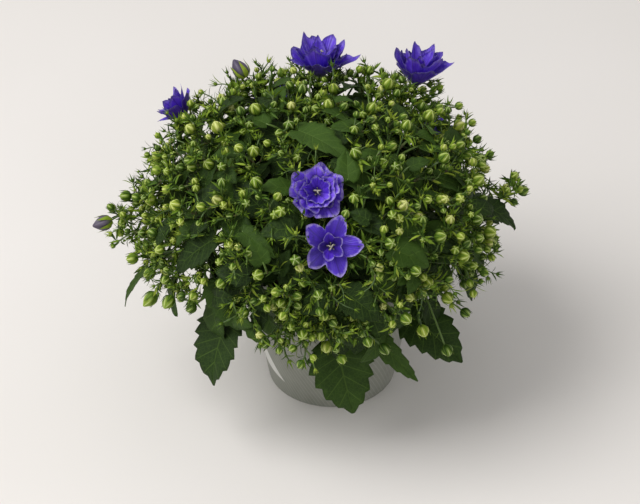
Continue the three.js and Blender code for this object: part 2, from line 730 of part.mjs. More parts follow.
function shootSolid(shoot) {
  const root = shoot.foot.clone().setZ(SOIL_TOP - STEM_HOLE_DEPTH + CLEARANCE);
  const stem = [root, ...shoot.spine];
  const radii = stem.map((_, i) => lerp(STEM_FOOT_RADIUS, STEM_TIP_RADIUS, i / (stem.length - 1)));
  let body = solid(tube(stem, radii, STEM_SIDES));
  for (const twig of shoot.twigs) {
    const frame = frameOf(twig.axis).setPosition(twig.at);
    const start = twig.start.clone().applyMatrix4(frame.clone().invert());
    const head = twig.end === 'bud' ? budGeometry(twig.radius, start) : calyxGeometry(start);
    body = body.add(solid(head.applyMatrix4(frame)));
  }
  for (const frame of shoot.whorls) body = body.add(solid(whorlGeometry().applyMatrix4(frame)));
  for (const leaf of shoot.leaves) body = body.add(solid(leafGeometry(leaf)));
  return body;
}

// Petals: height and reach of a ring halfway up, and of the rim from a lobe's tip to the notch beside it
const WAIST = { reach: 0.44, height: 0.42 };
const LONG_LOBE = { reach: [1, 0.84, 0.56, 0.84], height: [1, 0.95, 0.8, 0.95] };
const SHORT_LOBE = { reach: [1, 0.6], height: [1, 0.78] };
const OPENING = { upright: 1.3, spread: 0.6 };
const INNER_SKIN = { floor: 1.4, waist: 0.6, inset: 0.7, edge: 0.3 };

// One whorl of joined petals: a pointed cup whose rim runs out into lobes
function corollaGeometry({ radius, depth, spread, lobes, turn, floor, lobe }) {
  const points = [];
  const triangles = [];
  const count = lobes * 2;
  const edgeCount = lobes * lobe.reach.length;
  const ring = (number, reach, height) => {
    const start = points.length;
    for (let k = 0; k < number; k++) {
      const angle = turn + k * 2 * Math.PI / number;
      points.push(vector(Math.cos(angle) * reach(k), Math.sin(angle) * reach(k), height(k)));
    }
    return start;
  };
  const opening = depth * (OPENING.upright - spread * OPENING.spread);
  const skin = (inset, lift) => {
    const centre = points.length;
    points.push(vector(0, 0, floor + lift * INNER_SKIN.floor));
    const waistHeight = floor + depth * WAIST.height + lift * INNER_SKIN.waist;
    const middle = ring(count, () => radius * WAIST.reach - inset, () => waistHeight);
    const edge = ring(edgeCount, (k) => radius * lobe.reach[k % lobe.reach.length] - inset * INNER_SKIN.edge,
      (k) => floor + opening * lobe.height[k % lobe.height.length] + lift);
    return { centre, middle, edge };
  };
  const outer = skin(0, 0);
  const inner = skin(PETAL_THICKNESS * INNER_SKIN.inset, PETAL_THICKNESS);
  for (const [{ centre, middle, edge }, flip] of [[outer, false], [inner, true]]) {
    const add = (a, b, c) => triangles.push(flip ? [a, c, b] : [a, b, c]);
    for (let k = 0; k < count; k++) {
      const next = (k + 1) % count;
      add(centre, middle + next, middle + k);
      if (edgeCount > count) {
        const here = edge + 2 * k;
        add(middle + k, here + 1, here);
        add(middle + k, middle + next, here + 1);
        add(middle + next, edge + (2 * k + 2) % edgeCount, here + 1);
      } else {
        add(middle + k, middle + next, edge + k);
        add(middle + next, edge + next, edge + k);
      }
    }
  }
  for (let k = 0; k < edgeCount; k++) {
    const next = (k + 1) % edgeCount;
    triangles.push([outer.edge + k, outer.edge + next, inner.edge + next]);
    triangles.push([outer.edge + k, inner.edge + next, inner.edge + k]);
  }
  return geometryFrom(points, triangles);
}

// Double bell: a wide whorl, a narrower one turned half a lobe, and a small tuft round the style
const WHORLS = [
  { size: 1, depth: 1, spread: 1, lobes: 5, turn: 0, floor: 0, lobe: LONG_LOBE },
  { size: 0.7, depth: 0.95, spread: 0.5, lobes: 5, turn: 36, floor: 0.8, lobe: SHORT_LOBE },
  { size: 0.36, depth: 0.8, spread: 0.3, lobes: 3, turn: 23, floor: 1.6, lobe: SHORT_LOBE },
];

function bloomSolid({ size, spread, turn }) {
  const [radius, depth] = size;
  const solids = WHORLS.map((whorl) => solid(corollaGeometry({
    ...whorl,
    radius: radius * whorl.size,
    depth: depth * whorl.depth,
    spread: spread * whorl.spread,
    turn: degrees(turn + whorl.turn),
  })));
  return solids.reduce((body, whorl) => body.add(whorl));
}

function potSolid() {
  const stepHeight = POT_HEIGHT - POT_RIM_HEIGHT;
  const wallTop = POT_TOP_RADIUS - POT_RIM_STEP;
  const profile = [
    [0, 0], [POT_BASE_RADIUS - POT_EDGE, 0], [POT_BASE_RADIUS, POT_EDGE], [wallTop, stepHeight],
    [POT_TOP_RADIUS, stepHeight + POT_EDGE], [POT_TOP_RADIUS, POT_HEIGHT],
    [POT_TOP_RADIUS - POT_WALL, POT_HEIGHT], [wallTop - POT_WALL, stepHeight],
    [POT_BASE_RADIUS - POT_WALL, POT_FLOOR], [0, POT_FLOOR],
  ].map(([x, y]) => new THREE.Vector2(x, y));
  let pot = solid(new THREE.LatheGeometry(profile, POT_FACETS).rotateX(Math.PI / 2));
  for (let k = 0; k < DRAIN_HOLES; k++) {
    const turn = (k + 0.5) * 2 * Math.PI / DRAIN_HOLES;
    const depth = POT_FLOOR * 4;
    const hole = new THREE.CylinderGeometry(DRAIN_HOLE_RADIUS, DRAIN_HOLE_RADIUS, depth, DRAIN_HOLE_SIDES);
    hole.rotateX(Math.PI / 2);
    hole.translate(Math.cos(turn) * DRAIN_CIRCLE_RADIUS, Math.sin(turn) * DRAIN_CIRCLE_RADIUS, 0);
    pot = pot.subtract(solid(hole));
  }
  return pot;
}

// Soil: a plug that fills the pot, with a plain hole for the foot of each shoot
function soilSolid(shoots) {
  const floor = POT_FLOOR + CLEARANCE;
  const wallTop = POT_TOP_RADIUS - POT_RIM_STEP;
  const flare = (wallTop - POT_BASE_RADIUS) / (POT_HEIGHT - POT_RIM_HEIGHT);
  const plugRadius = (height) => POT_BASE_RADIUS - POT_WALL + flare * height - 2 * CLEARANCE;
  const profile = [[0, floor], [plugRadius(floor), floor], [plugRadius(SOIL_TOP), SOIL_TOP], [0, SOIL_TOP]]
    .map(([x, y]) => new THREE.Vector2(x, y));
  let soil = solid(new THREE.LatheGeometry(profile, POT_FACETS).rotateX(Math.PI / 2));
  const holeRadius = STEM_FOOT_RADIUS + 2 * CLEARANCE;
  for (const shoot of shoots) {
    const hole = new THREE.CylinderGeometry(holeRadius, holeRadius, STEM_HOLE_DEPTH * 2, STEM_SIDES);
    hole.rotateX(Math.PI / 2).rotateZ(Math.PI / 2).translate(shoot.foot.x, shoot.foot.y, SOIL_TOP);
    soil = soil.subtract(solid(hole));
  }
  return soil;
}

const plasticGrey = new THREE.MeshStandardMaterial({ color: 0x8f938c, roughness: 0.55, metalness: 0 });
const peat = new THREE.MeshStandardMaterial({ color: 0x2b2119, roughness: 1, metalness: 0 });
const foliage = new THREE.MeshStandardMaterial({ color: 0x5f8a2f, roughness: 0.6, metalness: 0 });
const petals = new THREE.MeshStandardMaterial({ color: 0x4a34a8, roughness: 0.5, metalness: 0 });

function named(name, manifold, material) {
  const mesh = new THREE.Mesh(meshFrom(outerSkin(manifold)), material.clone());
  mesh.name = name;
  return mesh;
}

const plant = new THREE.Group();
const shoots = grow();
plant.add(named('pot', potSolid(), plasticGrey));
plant.add(named('soil', soilSolid(shoots), peat));
for (const shoot of shoots) plant.add(named(shoot.name, shootSolid(shoot), foliage));
for (const bloom of BLOOMS) {
  const mesh = named(bloom.name, bloomSolid(bloom), petals);
  mesh.applyMatrix4(frameOf(bloomAxis(bloom)).setPosition(vector(...bloom.foot)));
  plant.add(mesh);
}

export default plant;
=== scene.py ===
import math
from collections import namedtuple

import bpy
import numpy as np
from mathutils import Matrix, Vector


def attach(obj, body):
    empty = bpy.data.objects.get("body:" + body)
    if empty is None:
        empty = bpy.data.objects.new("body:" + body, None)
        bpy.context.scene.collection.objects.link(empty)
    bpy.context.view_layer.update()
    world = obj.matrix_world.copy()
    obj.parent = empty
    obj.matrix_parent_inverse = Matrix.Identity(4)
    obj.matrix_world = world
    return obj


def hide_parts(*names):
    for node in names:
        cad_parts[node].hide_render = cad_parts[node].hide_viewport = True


# Potted bellflower. The plant is grown again here by the rule that the solids follow, in
# millimetres, then dressed with finer buds, leaves and petals and with more of each.

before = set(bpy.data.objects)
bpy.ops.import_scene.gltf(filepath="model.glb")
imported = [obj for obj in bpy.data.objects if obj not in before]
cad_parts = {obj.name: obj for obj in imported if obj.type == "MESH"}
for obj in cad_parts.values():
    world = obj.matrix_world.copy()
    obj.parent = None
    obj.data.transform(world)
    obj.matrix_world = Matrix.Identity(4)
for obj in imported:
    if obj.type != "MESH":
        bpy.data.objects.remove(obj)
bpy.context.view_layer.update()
MM = 0.001
TURN = 2 * math.pi
UP = np.array((0.0, 0.0, 1.0))

# Pot and soil
POT_HEIGHT = 104
POT_TOP_RADIUS = 60
POT_BASE_RADIUS = 43
POT_WALL = 1.5
POT_FLOOR = 2
POT_RIM_HEIGHT = 9
POT_RIM_STEP = 1.6
POT_MARGIN = 1
DRAIN_HOLES = 6
DRAIN_HOLE_RADIUS = 4
DRAIN_CIRCLE_RADIUS = 33
SOIL_TOP = 92
STEM_HOLE_DEPTH = 9
CLEARANCE = 0.3

# Mound of shoots
MOUND_CENTRE = np.array((-9.0, 0.0, 125.0))
MOUND_RADII = np.array((112.0, 112.0, 80.0))
MOUND_SQUARENESS = 2.7
DOME_SHOOTS = 18
DOME_LAST_POLAR = 1.36
SHOOT_DEPTH = 0.78
CROWN_RADIUS = 36
LOW_FOOT_RADIUS = 46
GOLDEN_ANGLE = math.pi * (3 - math.sqrt(5))
SEED = 10

# Stems: radii, then the handles of their curves as shares of the span, or in mm on a low shoot
STEM_STEPS = 5
STEM_FOOT_RADIUS = 1.7
STEM_TIP_RADIUS = 1.0
TWIG_RADIUS = 0.75
STALK_RADIUS = 1
PETIOLE_RADIUS = 0.9
STEM_RISE, STEM_RUN_IN = 0.45, 0.35
LOW_RISE, LOW_RUN_IN, LOW_DROP = 42, 16, 22

# Twigs leave a stem between these samples of its length, earlier the further they reach
STEM_SAMPLES = 24
FIRST_SAMPLE = 8
LOWEST_TWIG = 0.3
TWIG_SLANT = 0.75
TWIG_DELAYS = (0, 0.15, 0.3)
LONGEST_TWIG = 62
LATEST_STALK = 0.9

# Buds and whorls of narrow leaves
BUD_SPOTS = 131
BUD_LAST_POLAR = 1.95
BUD_FIRST_TURN = 1
BUD_DEPTHS = (0.93, 1.05)
BUD_SIZES = (0.85, 1.2)
BUD_RADIUS = 3.5
BUD_LEAN = 0.6
BUD_SEAT = 0.5
BUD_ROOM = 1.45
SEPALS = 5
WHORL_REACH = 15
WHORL_SLOPE = 0.5
WHORL_BALL = 0.8
WHORL_SHARES = (0.78, 0.7, 0.86, 0.62, 0.54)

# Leaves
LEAF_TRIES = 24
LEAF_SHARES = (0.55, 0.98)
LEAF_LEAN = (0.1, 0.7)
LEAF_ACROSS = np.array((0.31, 0.95, 0))
PETIOLE_LENGTHS = (8, 13)
BLADE_LENGTHS = (23, 33)
BLADE_RATIO = 0.8
SMALL_ARCH, SMALL_FOLD = 0.08, 0.2
LARGE_ARCH, LARGE_FOLD, LARGE_LIFT = 0.06, 0.18, 0.6
LARGE_BACKS = (0, 0.1, 0.2)
PETIOLE_BEND, PETIOLE_LIFT = 0.6, 3
MOST_SIDEWAYS = 0.85
WIDEST, TAPER = 0.25, 1.5
BLADE_STEP = 4.5
BLADE_BALL = 2.6

# Room that pieces take, in balls, and how near its root a piece may touch its own shoot
BALL_SPACING = 3
BALL_MARGIN = 0.6
ROOT_REACH = 9
HEART_DEPTH, HEART_RADIUS = 0.5, 0.6
RIM_BALLS, RIM_DEPTH, RIM_REACH, RIM_BALL_RADIUS = 10, 0.75, 0.7, 0.36

# Low shoots that lean over the pot's rim: azimuth, radius and height of the tip
LOW_SHOOTS = (
    (-84, 88, 112), (-104, 84, 106), (-132, 90, 118), (-163, 112, 112), (172, 122, 128), (130, 88, 112),
    (96, 86, 108), (62, 88, 110), (28, 90, 108), (-6, 100, 120), (-44, 84, 108),
)

# Blooms: foot, tilt from upright, azimuth of the tilt, radius, depth, spread and turn of the lobes, then
# what only the looks need: how many whorls stand inside the outer one, how far petals are ruffled, how
# full the outer whorl is between its lobes, how much lighter or darker the petals are, partly painted
# shade as on bloom_front, and how pale the petal edges are, partly a painted highlight.
Bloom = namedtuple("Bloom", "foot tilt azimuth radius depth spread turn inner ruffle notch tone hem")
BLOOMS = {
    "bloom_top": Bloom((-9, 76, 186), 14, 75, 25, 22, 0.75, 17, 3, 0.5, 0.62, -0.05, 0.3),
    "bloom_top_right": Bloom((54, 68, 185), 16, 40, 20, 21, 0.5, 17, 3, 0.5, 0.66, -0.08, 0.35),
    "bloom_centre": Bloom((-9, -56, 186), 46, -92, 18, 11, 0.9, 17, 3, 1.3, 0.86, 0.05, 0.85),
    "bloom_front": Bloom((-1, -85, 167), 58, -86, 19, 10, 1, 0, 1, 0.4, 0.58, -0.22, 0.65),
    "bloom_left": Bloom((-96, 50, 172), 52, 158, 16, 15, 0.6, 17, 3, 0.3, 0.6, 0, 0.4),
    "bloom_back": Bloom((-40, 106, 138), 58, 108, 20, 14, 0.9, 17, 3, 0.5, 0.62, 0, 0.4),
    "bloom_back_right": Bloom((64, 90, 126), 62, 48, 19, 15, 0.7, 17, 3, 0.3, 0.6, -0.05, 0.4),
}

# The furthest and largest buds: place, radius and how far they are from opening
FAR_BUDS = (
    ((-147, -10, 129), 5, "ripe"), ((-116, -49, 98), 4.4, "long"), ((-103, -70, 112), 4, "long"),
    ((-60, 76, 190), 5.4, "ripe"), ((124, 10, 141), 3.6, "bud"), ((73, -84, 84), 3.8, "bud"),
    ((-134, 4, 140), 3.8, "bud"), ((-128, -34, 118), 3.8, "bud"),
)

# Large leaves: foot and tip of the blade and its width
LARGE_LEAVES = (
    ((3, -67, 74), (14, -89, 34), 44), ((-67, -64, 92), (-77, -87, 56), 42),
    ((-72, -70, 128), (-52, -86, 98), 30), ((50, -56, 90), (84, -77, 68), 36),
    ((24, -74, 92), (55, -92, 64), 16), ((98, -10, 144), (119, -14, 128), 24),
    ((-121, -26, 103), (-137, -28, 74), 9), ((-22, -12, 203), (11, -38, 198), 25),
    ((-74, -70, 160), (-99, -64, 130), 26), ((-56, -72, 168), (-35, -88, 160), 15),
    ((8, -97, 140), (30, -103, 123), 24), ((70, 66, 92), (82, 88, 54), 42),
    ((-6, 74, 88), (6, 94, 48), 40), ((-74, 58, 90), (-88, 76, 56), 38),
    ((94, 30, 112), (122, 42, 92), 34),
)


# Small vector tools
def vec(x, y, z):
    return np.array((x, y, z), float)


def unit(v):
    return v / (math.sqrt(v @ v) or 1)


def cross(a, b):
    return vec(a[1] * b[2] - a[2] * b[1], a[2] * b[0] - a[0] * b[2], a[0] * b[1] - a[1] * b[0])


def mix(a, b, share):
    return a + (b - a) * share


def apart(a, b):
    d = a - b
    return math.sqrt(d @ d)


def ray(turn, rise=0.0):
    return vec(math.cos(turn), math.sin(turn), rise)


def frame_of(axis):
    """Columns: two unit vectors across an axis, and the axis."""
    reference = vec(1, 0, 0) if abs(axis[2]) > 0.95 else UP
    side = unit(cross(reference, axis))
    return np.stack((side, cross(axis, side), axis), 1)


def seeded(seed):
    """Random numbers from 0 to 1 and between two values, the same in every run."""
    state = seed

    def random():
        nonlocal state
        state = (state * 1664525 + 1013904223) % 2**32
        return state / 2**32

    return random, lambda low, high: low + (high - low) * random()


_, between = seeded(SEED)


def dome_polar(share, last):
    """Polar angle at a share of the dome's area, down to a last polar angle."""
    return math.acos(1 - share * (1 - math.cos(last)))


def on_mound(polar, azimuth, depth):
    flat, tall = math.sin(polar), math.cos(polar)
    reach = depth * (flat**MOUND_SQUARENESS + abs(tall) ** MOUND_SQUARENESS) ** (-1 / MOUND_SQUARENESS)
    heading = vec(flat * math.cos(azimuth), flat * math.sin(azimuth), tall)
    return MOUND_CENTRE + heading * MOUND_RADII * reach


def outward(point):
    return unit((point - MOUND_CENTRE) / MOUND_RADII**2)


def foot_and_axis(bloom):
    tilt, azimuth = math.radians(bloom.tilt), math.radians(bloom.azimuth)
    flat = math.sin(tilt)
    return vec(*bloom.foot), vec(flat * math.cos(azimuth), flat * math.sin(azimuth), math.cos(tilt))


# The room that is taken: balls with an owner
class Room:
    def __init__(self):
        self.places = np.zeros((0, 3))
        self.radii = np.zeros(0)
        self.owners = np.zeros(0, int)
        self.numbers = {}

    def number(self, owner):
        return self.numbers.setdefault(owner, len(self.numbers))

    def take(self, balls, owner):
        self.places = np.concatenate((self.places, [place for place, _ in balls]))
        self.radii = np.concatenate((self.radii, [radius for _, radius in balls]))
        self.owners = np.concatenate((self.owners, np.full(len(balls), self.number(owner))))

    def is_clear(self, balls, owner, root):
        """A new piece may touch its own shoot only where it is rooted."""
        if not all(clear_of_pot(place, radius) for place, radius in balls):
            return False
        places = np.array([place for place, _ in balls])
        radii = np.array([radius for _, radius in balls])
        distances = np.sqrt(((places[:, None] - self.places[None]) ** 2).sum(2))
        free = distances > radii[:, None] + self.radii[None] + CLEARANCE
        rooted = np.sqrt(((places - root) ** 2).sum(1)) < ROOT_REACH
        own = self.owners == self.number(owner)
        return bool((free | (rooted[:, None] & own[None])).all())


def pot_radius_at(height):
    if height > POT_HEIGHT or height < 0:
        return 0
    if height > POT_HEIGHT - POT_RIM_HEIGHT - 2 * POT_MARGIN:
        return POT_TOP_RADIUS + POT_RIM_STEP
    return POT_BASE_RADIUS + (POT_TOP_RADIUS - POT_BASE_RADIUS) * height / POT_HEIGHT


def clear_of_pot(place, radius):
    low = place[2] - radius
    reach = math.hypot(place[0], place[1])
    return low > POT_HEIGHT + POT_MARGIN or reach - radius > pot_radius_at(low) + POT_MARGIN


def balls_along(points, radius):
    balls = []
    for a, b in zip(points, points[1:]):
        steps = max(1, math.ceil(apart(a, b) / BALL_SPACING))
        balls += [(mix(a, b, k / steps), radius + BALL_MARGIN) for k in range(steps + 1)]
    return balls


class Blade:
    def __init__(self, foot, tip, width, facing, arch, fold):
        self.foot, self.tip, self.width, self.arch, self.fold = foot, tip, width, arch, fold
        self.length = apart(foot, tip)
        self.forward = unit(tip - foot)
        self.side = unit(cross(self.forward, facing))
        self.normal = unit(cross(self.side, self.forward))

    def point(self, u, v, rise=0.0):
        """u runs from foot to tip, v across in half widths."""
        half = self.width / 2
        rise = rise + self.arch * 4 * u * (1 - u) * self.length + self.fold * abs(v) * half
        return self.foot + self.forward * (u * self.length) + self.side * (v * half) + self.normal * rise

    def balls(self):
        balls = []
        rows = math.ceil(self.length / BLADE_STEP)
        for u in (i / rows for i in range(rows + 1)):
            share = 1 - WIDEST + u if u < WIDEST else 1 - ((u - WIDEST) / (1 - WIDEST)) ** TAPER
            columns = math.ceil(self.width * share / BLADE_STEP / 2)
            for k in range(-columns, columns + 1):
                balls.append((self.point(u, share * k / columns if columns else 0.0), BLADE_BALL))
        return balls


class Shoot:
    """A stem in straight stretches, and lists of what grows on it."""

    def __init__(self, number, foot, tip, controls):
        self.name = f"shoot_{number:02d}"
        self.foot, self.tip = foot, tip
        self.curve = (foot, *controls, tip)
        self.spine = [self.curve_point(k / STEM_STEPS) for k in range(STEM_STEPS + 1)]
        fine = [self.curve_point(k / 200) for k in range(201)]
        self.length = sum(apart(a, b) for a, b in zip(fine, fine[1:]))
        self.twigs, self.leaves, self.whorls, self.heads = [], [], [], []
        self.sprigs, self.bracts, self.small_leaves = [], [], []

    def curve_point(self, t):
        a, b, c, d = self.curve
        k = 1 - t
        return k * k * k * a + 3 * k * k * t * b + 3 * k * t * t * c + t * t * t * d

    def spine_point(self, share):
        step = min(STEM_STEPS - 1, math.floor(share * STEM_STEPS))
        return mix(self.spine[step], self.spine[step + 1], share * STEM_STEPS - step)

    def twig_start(self, place):
        nearest, gap = 1, math.inf
        for share in (k / STEM_SAMPLES for k in range(FIRST_SAMPLE, STEM_SAMPLES + 1)):
            distance = apart(self.spine_point(share), place)
            if distance < gap:
                nearest, gap = share, distance
        return max(LOWEST_TWIG, nearest - TWIG_SLANT * gap / self.length)


def make_shoots(room):
    shoots = []
    for i in range(DOME_SHOOTS):
        share = (i + 0.5) / DOME_SHOOTS
        azimuth = i * GOLDEN_ANGLE
        tip = on_mound(dome_polar(share, DOME_LAST_POLAR), azimuth, SHOOT_DEPTH)
        foot = ray(azimuth) * (CROWN_RADIUS * math.sqrt(share)) + UP * (SOIL_TOP + 1)
        span = apart(foot, tip)
        controls = (foot + UP * (span * STEM_RISE), tip - outward(tip) * (span * STEM_RUN_IN))
        shoots.append(Shoot(len(shoots) + 1, foot, tip, controls))
    for degrees, reach, height in LOW_SHOOTS:
        out = ray(math.radians(degrees))
        foot = out * LOW_FOOT_RADIUS + UP * (SOIL_TOP + 1)
        tip = out * reach + UP * height
        controls = (foot + UP * LOW_RISE, tip - out * LOW_RUN_IN + UP * LOW_DROP)
        shoots.append(Shoot(len(shoots) + 1, foot, tip, controls))
    for shoot in shoots:
        room.take(balls_along(shoot.spine, STEM_FOOT_RADIUS), shoot.name)
    return shoots


def nearest_shoots(shoots, place):
    return sorted(shoots, key=lambda shoot: apart(shoot.tip, place))


def place_bloom(room, shoots, name):
    """A bloom takes a ball in its heart and a ring of smaller ones near its rim."""
    foot, axis = foot_and_axis(BLOOMS[name])
    radius, depth = BLOOMS[name].radius, BLOOMS[name].depth
    shoot = nearest_shoots(shoots, foot)[0]
    end = foot - axis * CLEARANCE
    start = shoot.spine_point(min(LATEST_STALK, shoot.twig_start(end)))
    shoot.twigs.append((start, end, STALK_RADIUS))
    shoot.heads.append(("calyx", end, axis, 1.0))
    room.take(balls_along([start, end], STALK_RADIUS), shoot.name)
    side = unit(cross(UP, axis))
    across = cross(axis, side)
    balls = [(foot + axis * (depth * HEART_DEPTH), radius * HEART_RADIUS)]
    for k in range(RIM_BALLS):
        turn = k * TURN / RIM_BALLS
        beside = foot + axis * (depth * RIM_DEPTH) + side * (math.cos(turn) * radius * RIM_REACH)
        balls.append((beside + across * (math.sin(turn) * radius * RIM_REACH), radius * RIM_BALL_RADIUS))
    room.take(balls, name)


def place_leaf(room, shoot, blade, start):
    bend = mix(start, blade.foot, PETIOLE_BEND) + UP * PETIOLE_LIFT
    if abs(unit(blade.foot - start) @ blade.side) > MOST_SIDEWAYS:
        return False
    balls = balls_along([start, bend, blade.foot], PETIOLE_RADIUS) + blade.balls()
    if not room.is_clear(balls, shoot.name, start):
        return False
    room.take(balls, shoot.name)
    shoot.leaves.append((blade, start, bend))
    return True


def place_large_leaf(room, shoots, foot, tip, width):
    foot, tip = vec(*foot), vec(*tip)
    blade = Blade(foot, tip, width, outward(foot) + UP * LARGE_LIFT, LARGE_ARCH, LARGE_FOLD)
    for shoot in nearest_shoots(shoots, foot)[:4]:
        for back in LARGE_BACKS:
            start = shoot.spine_point(max(LOWEST_TWIG, shoot.twig_start(foot) - back))
            if place_leaf(room, shoot, blade, start):
                return


def leaf_heading(facing, turn, lean):
    """A way across the facing, turned round it and leaning towards it."""
    side = unit(cross(facing, LEAF_ACROSS))
    flat = side * math.cos(turn) + cross(facing, side) * math.sin(turn)
    return unit(flat + facing * lean)


def place_stem_leaf(room, shoot):
    """A leaf up a shoot, set round the stem at random where it is clear."""
    for _ in range(LEAF_TRIES):
        start = shoot.spine_point(between(*LEAF_SHARES))
        facing = outward(start)
        heading = leaf_heading(facing, between(0, TURN), between(*LEAF_LEAN))
        foot = start + heading * between(*PETIOLE_LENGTHS)
        length = between(*BLADE_LENGTHS)
        blade = Blade(foot, foot + heading * length, length * BLADE_RATIO, facing, SMALL_ARCH, SMALL_FOLD)
        if place_leaf(room, shoot, blade, start):
            return


def place_whorl(room, shoot):
    for share in WHORL_SHARES:
        middle = shoot.spine_point(share)
        turned = frame_of(unit(shoot.spine_point(share + 0.05) - middle))
        balls = []
        for k in range(SEPALS):
            tip = middle + turned @ (ray(k * TURN / SEPALS, WHORL_SLOPE) * WHORL_REACH)
            balls += balls_along([middle, tip], WHORL_BALL)
        if room.is_clear(balls, shoot.name, middle):
            room.take(balls, shoot.name)
            shoot.whorls.append((middle, turned))
            return


def place_bud(room, shoots, place, radius):
    """Sets a bud on the nearest shoot whose twig to it finds room, leaving early or late."""
    for shoot in nearest_shoots(shoots, place)[:3]:
        for delay in TWIG_DELAYS:
            start = shoot.spine_point(min(1, shoot.twig_start(place) + delay))
            axis = unit(unit(place - start) + outward(place) * BUD_LEAN)
            end = place - axis * (radius * BUD_SEAT)
            balls = balls_along([start, end], TWIG_RADIUS) + [(place, radius * BUD_ROOM)]
            if apart(start, place) < LONGEST_TWIG and room.is_clear(balls, shoot.name, start):
                room.take(balls, shoot.name)
                shoot.twigs.append((start, end, TWIG_RADIUS))
                shoot.heads.append(("bud", place, axis, radius))
                return


def grow():
    room = Room()
    shoots = make_shoots(room)
    for name in BLOOMS:
        place_bloom(room, shoots, name)
    for large in LARGE_LEAVES:
        place_large_leaf(room, shoots, *large)
    for shoot in shoots:
        place_stem_leaf(room, shoot)
    for shoot in shoots:
        place_whorl(room, shoot)
    for place, radius, _ in FAR_BUDS:
        place_bud(room, shoots, vec(*place), radius)
    for index in range(BUD_SPOTS):
        polar = dome_polar((index + 0.5) / BUD_SPOTS, BUD_LAST_POLAR)
        place = on_mound(polar, index * GOLDEN_ANGLE + BUD_FIRST_TURN, between(*BUD_DEPTHS))
        place_bud(room, shoots, place, BUD_RADIUS * between(*BUD_SIZES))
    return shoots


# More growth for the looks: every tip branches again, out to the mound's surface
EXTRA_SEED = 77
LOWEST_HEAD = 92
STEM_DIVISIONS = 25
BRANCH_STEP = 3
SIDEWAYS_COST = 1.7
NEAREST_START = 4.5
LEAST_RISE = 0.15

# Sprigs: how far they swing out and where, how their heads face, and how thick they are
SPRIG_SWING, SPRIG_RUN = 0.6, 0.45
HEAD_OUTWARD, HEAD_UPWARD = 0.35, 0.15
HEAD_SEAT = 0.6
SPRIG_RADIUS, SPRIG_GROWTH, THICKEST_SPRIG = 0.3, 0.055, 0.85
TUFT_TIP, BUD_TIP = 0.4, 0.55

# Narrow leaves: how often a fork has them, how often one of the two is there, lean and length
FORK_CHANCE, BRACT_CHANCE = 0.75, 0.8
BRACT_LEAN = (0.3, 1.1)
BRACT_LENGTHS = (4.5, 10)

# Room kept free behind and before a bloom, and its width at the foot as a share of its radius
BLOOM_BEHIND, BLOOM_BEFORE, BLOOM_FOOT = -2, 30, 0.35
COLLAR_HEADS, COLLAR_TWIG, COLLAR_ROOM = 26, 30, 0.2
COLLAR_GAPS, COLLAR_RADII = (3.5, 9), (1.2, 2.6)
CLUSTER_INWARD, CLUSTER_TWIG, CLUSTER_ROOM = 1.1, 24, 0.3

# The side that shows first, and how far before a large leaf nothing may hide it
FRONT = np.array((0.0, -0.8, 0.6))
FREE_SIGHT = 50

# The mound leaves the front of the pot open beside a tongue of buds
OPEN_FRONT = -30
OPEN_BELOW = 110
TONGUE_MIDDLE, TONGUE_HALF_WIDTH = -7, 30
TONGUE = ((-31, -92, 114), (-15, -96, 106), (2, -97, 105), (18, -96, 112))
OPENING_SCALE, OPENING_LEVEL = 0.13, 0.9

# Small heads round a far bud and on the tongue: how far out, how many, radius and kind
FAR_CLUSTERS = ((17, 14, (1.5, 2.9), "bud"), (20, 22, (1.0, 1.8), "tuft"))
TONGUE_CLUSTERS = ((15, 26, (1.6, 2.8), "bud"), (16, 40, (1.0, 1.8), "tuft"))

# Leaves inside the mound: how many, down to what polar angle, how deep and how long; then leaves in a
# skirt under its edge, and leaves that show in its small openings
INNER_LEAVES = (
    (90, 2.1, (0.4, 0.65), (22, 34)), (80, 1.4, (0.62, 0.8), (20, 30)), (150, 2.1, (0.66, 0.9), (16, 28)),
)
INNER_RATIOS, INNER_ARCHES, INNER_FOLDS = (0.7, 0.9), (0.02, 0.12), (0.1, 0.3)
INNER_LIFT, INNER_TWIG, INNER_LEAN = 0.35, 45, (-0.1, 0.5)
SKIRT_LEAVES, SKIRT_REACHES, SKIRT_HEIGHTS, SKIRT_LENGTHS = 54, (64, 92), (90, 122), (18, 28)
OPENING_LEAVES, OPENING_LAST_POLAR, OPENING_DEPTH, OPENING_CHANCE = 400, 1.9, 0.93, 0.5
OPENING_LENGTHS = (14, 22)

# Heads on the mound: how many, first turn, how deep, radius, kind and longest twig; then down to what
# polar angle, and how far each is moved off its spot at random
SPRAYS = (
    (300, 0.4, (0.76, 0.9), (1.2, 1.9), "tuft", 45), (1000, 1.7, (0.9, 1.06), (1.8, 3.1), "bud", 34),
    (1500, 2.9, (0.86, 1.08), (1.0, 1.9), "tuft", 26),
)
SPRAY_LAST_POLAR, SPRAY_SWAY, SPRAY_SHIFT = 2.0, 0.05, 3


class Branches:
    """Points of stems and twigs that a new twig can leave from."""

    def __init__(self):
        self.places, self.ways, self.owners = [], [], []

    def add(self, points, owner):
        for a, b in zip(points, points[1:]):
            steps = max(1, round(apart(a, b) / BRANCH_STEP))
            for k in range(steps):
                self.places.append(mix(a, b, (k + 1) / steps))
                self.ways.append(unit(b - a))
                self.owners.append(owner)

    def nearest(self, place, facing, farthest):
        """The best point to grow from towards a place, its way and its shoot, or None."""
        away = place - np.array(self.places)
        distances = np.sqrt((away**2).sum(1))
        rise = (away @ facing) / np.maximum(distances, 1e-6)
        cost = distances * (SIDEWAYS_COST - rise)
        cost[(distances < NEAREST_START) | (distances > farthest) | (rise < LEAST_RISE)] = math.inf
        best = int(np.argmin(cost))
        if not math.isfinite(cost[best]):
            return None
        return self.places[best], self.ways[best], self.owners[best]


def bent(start, control, end, steps):
    shares = np.linspace(0, 1, steps + 1)[:, None]
    return (1 - shares) ** 2 * start + 2 * shares * (1 - shares) * control + shares**2 * end


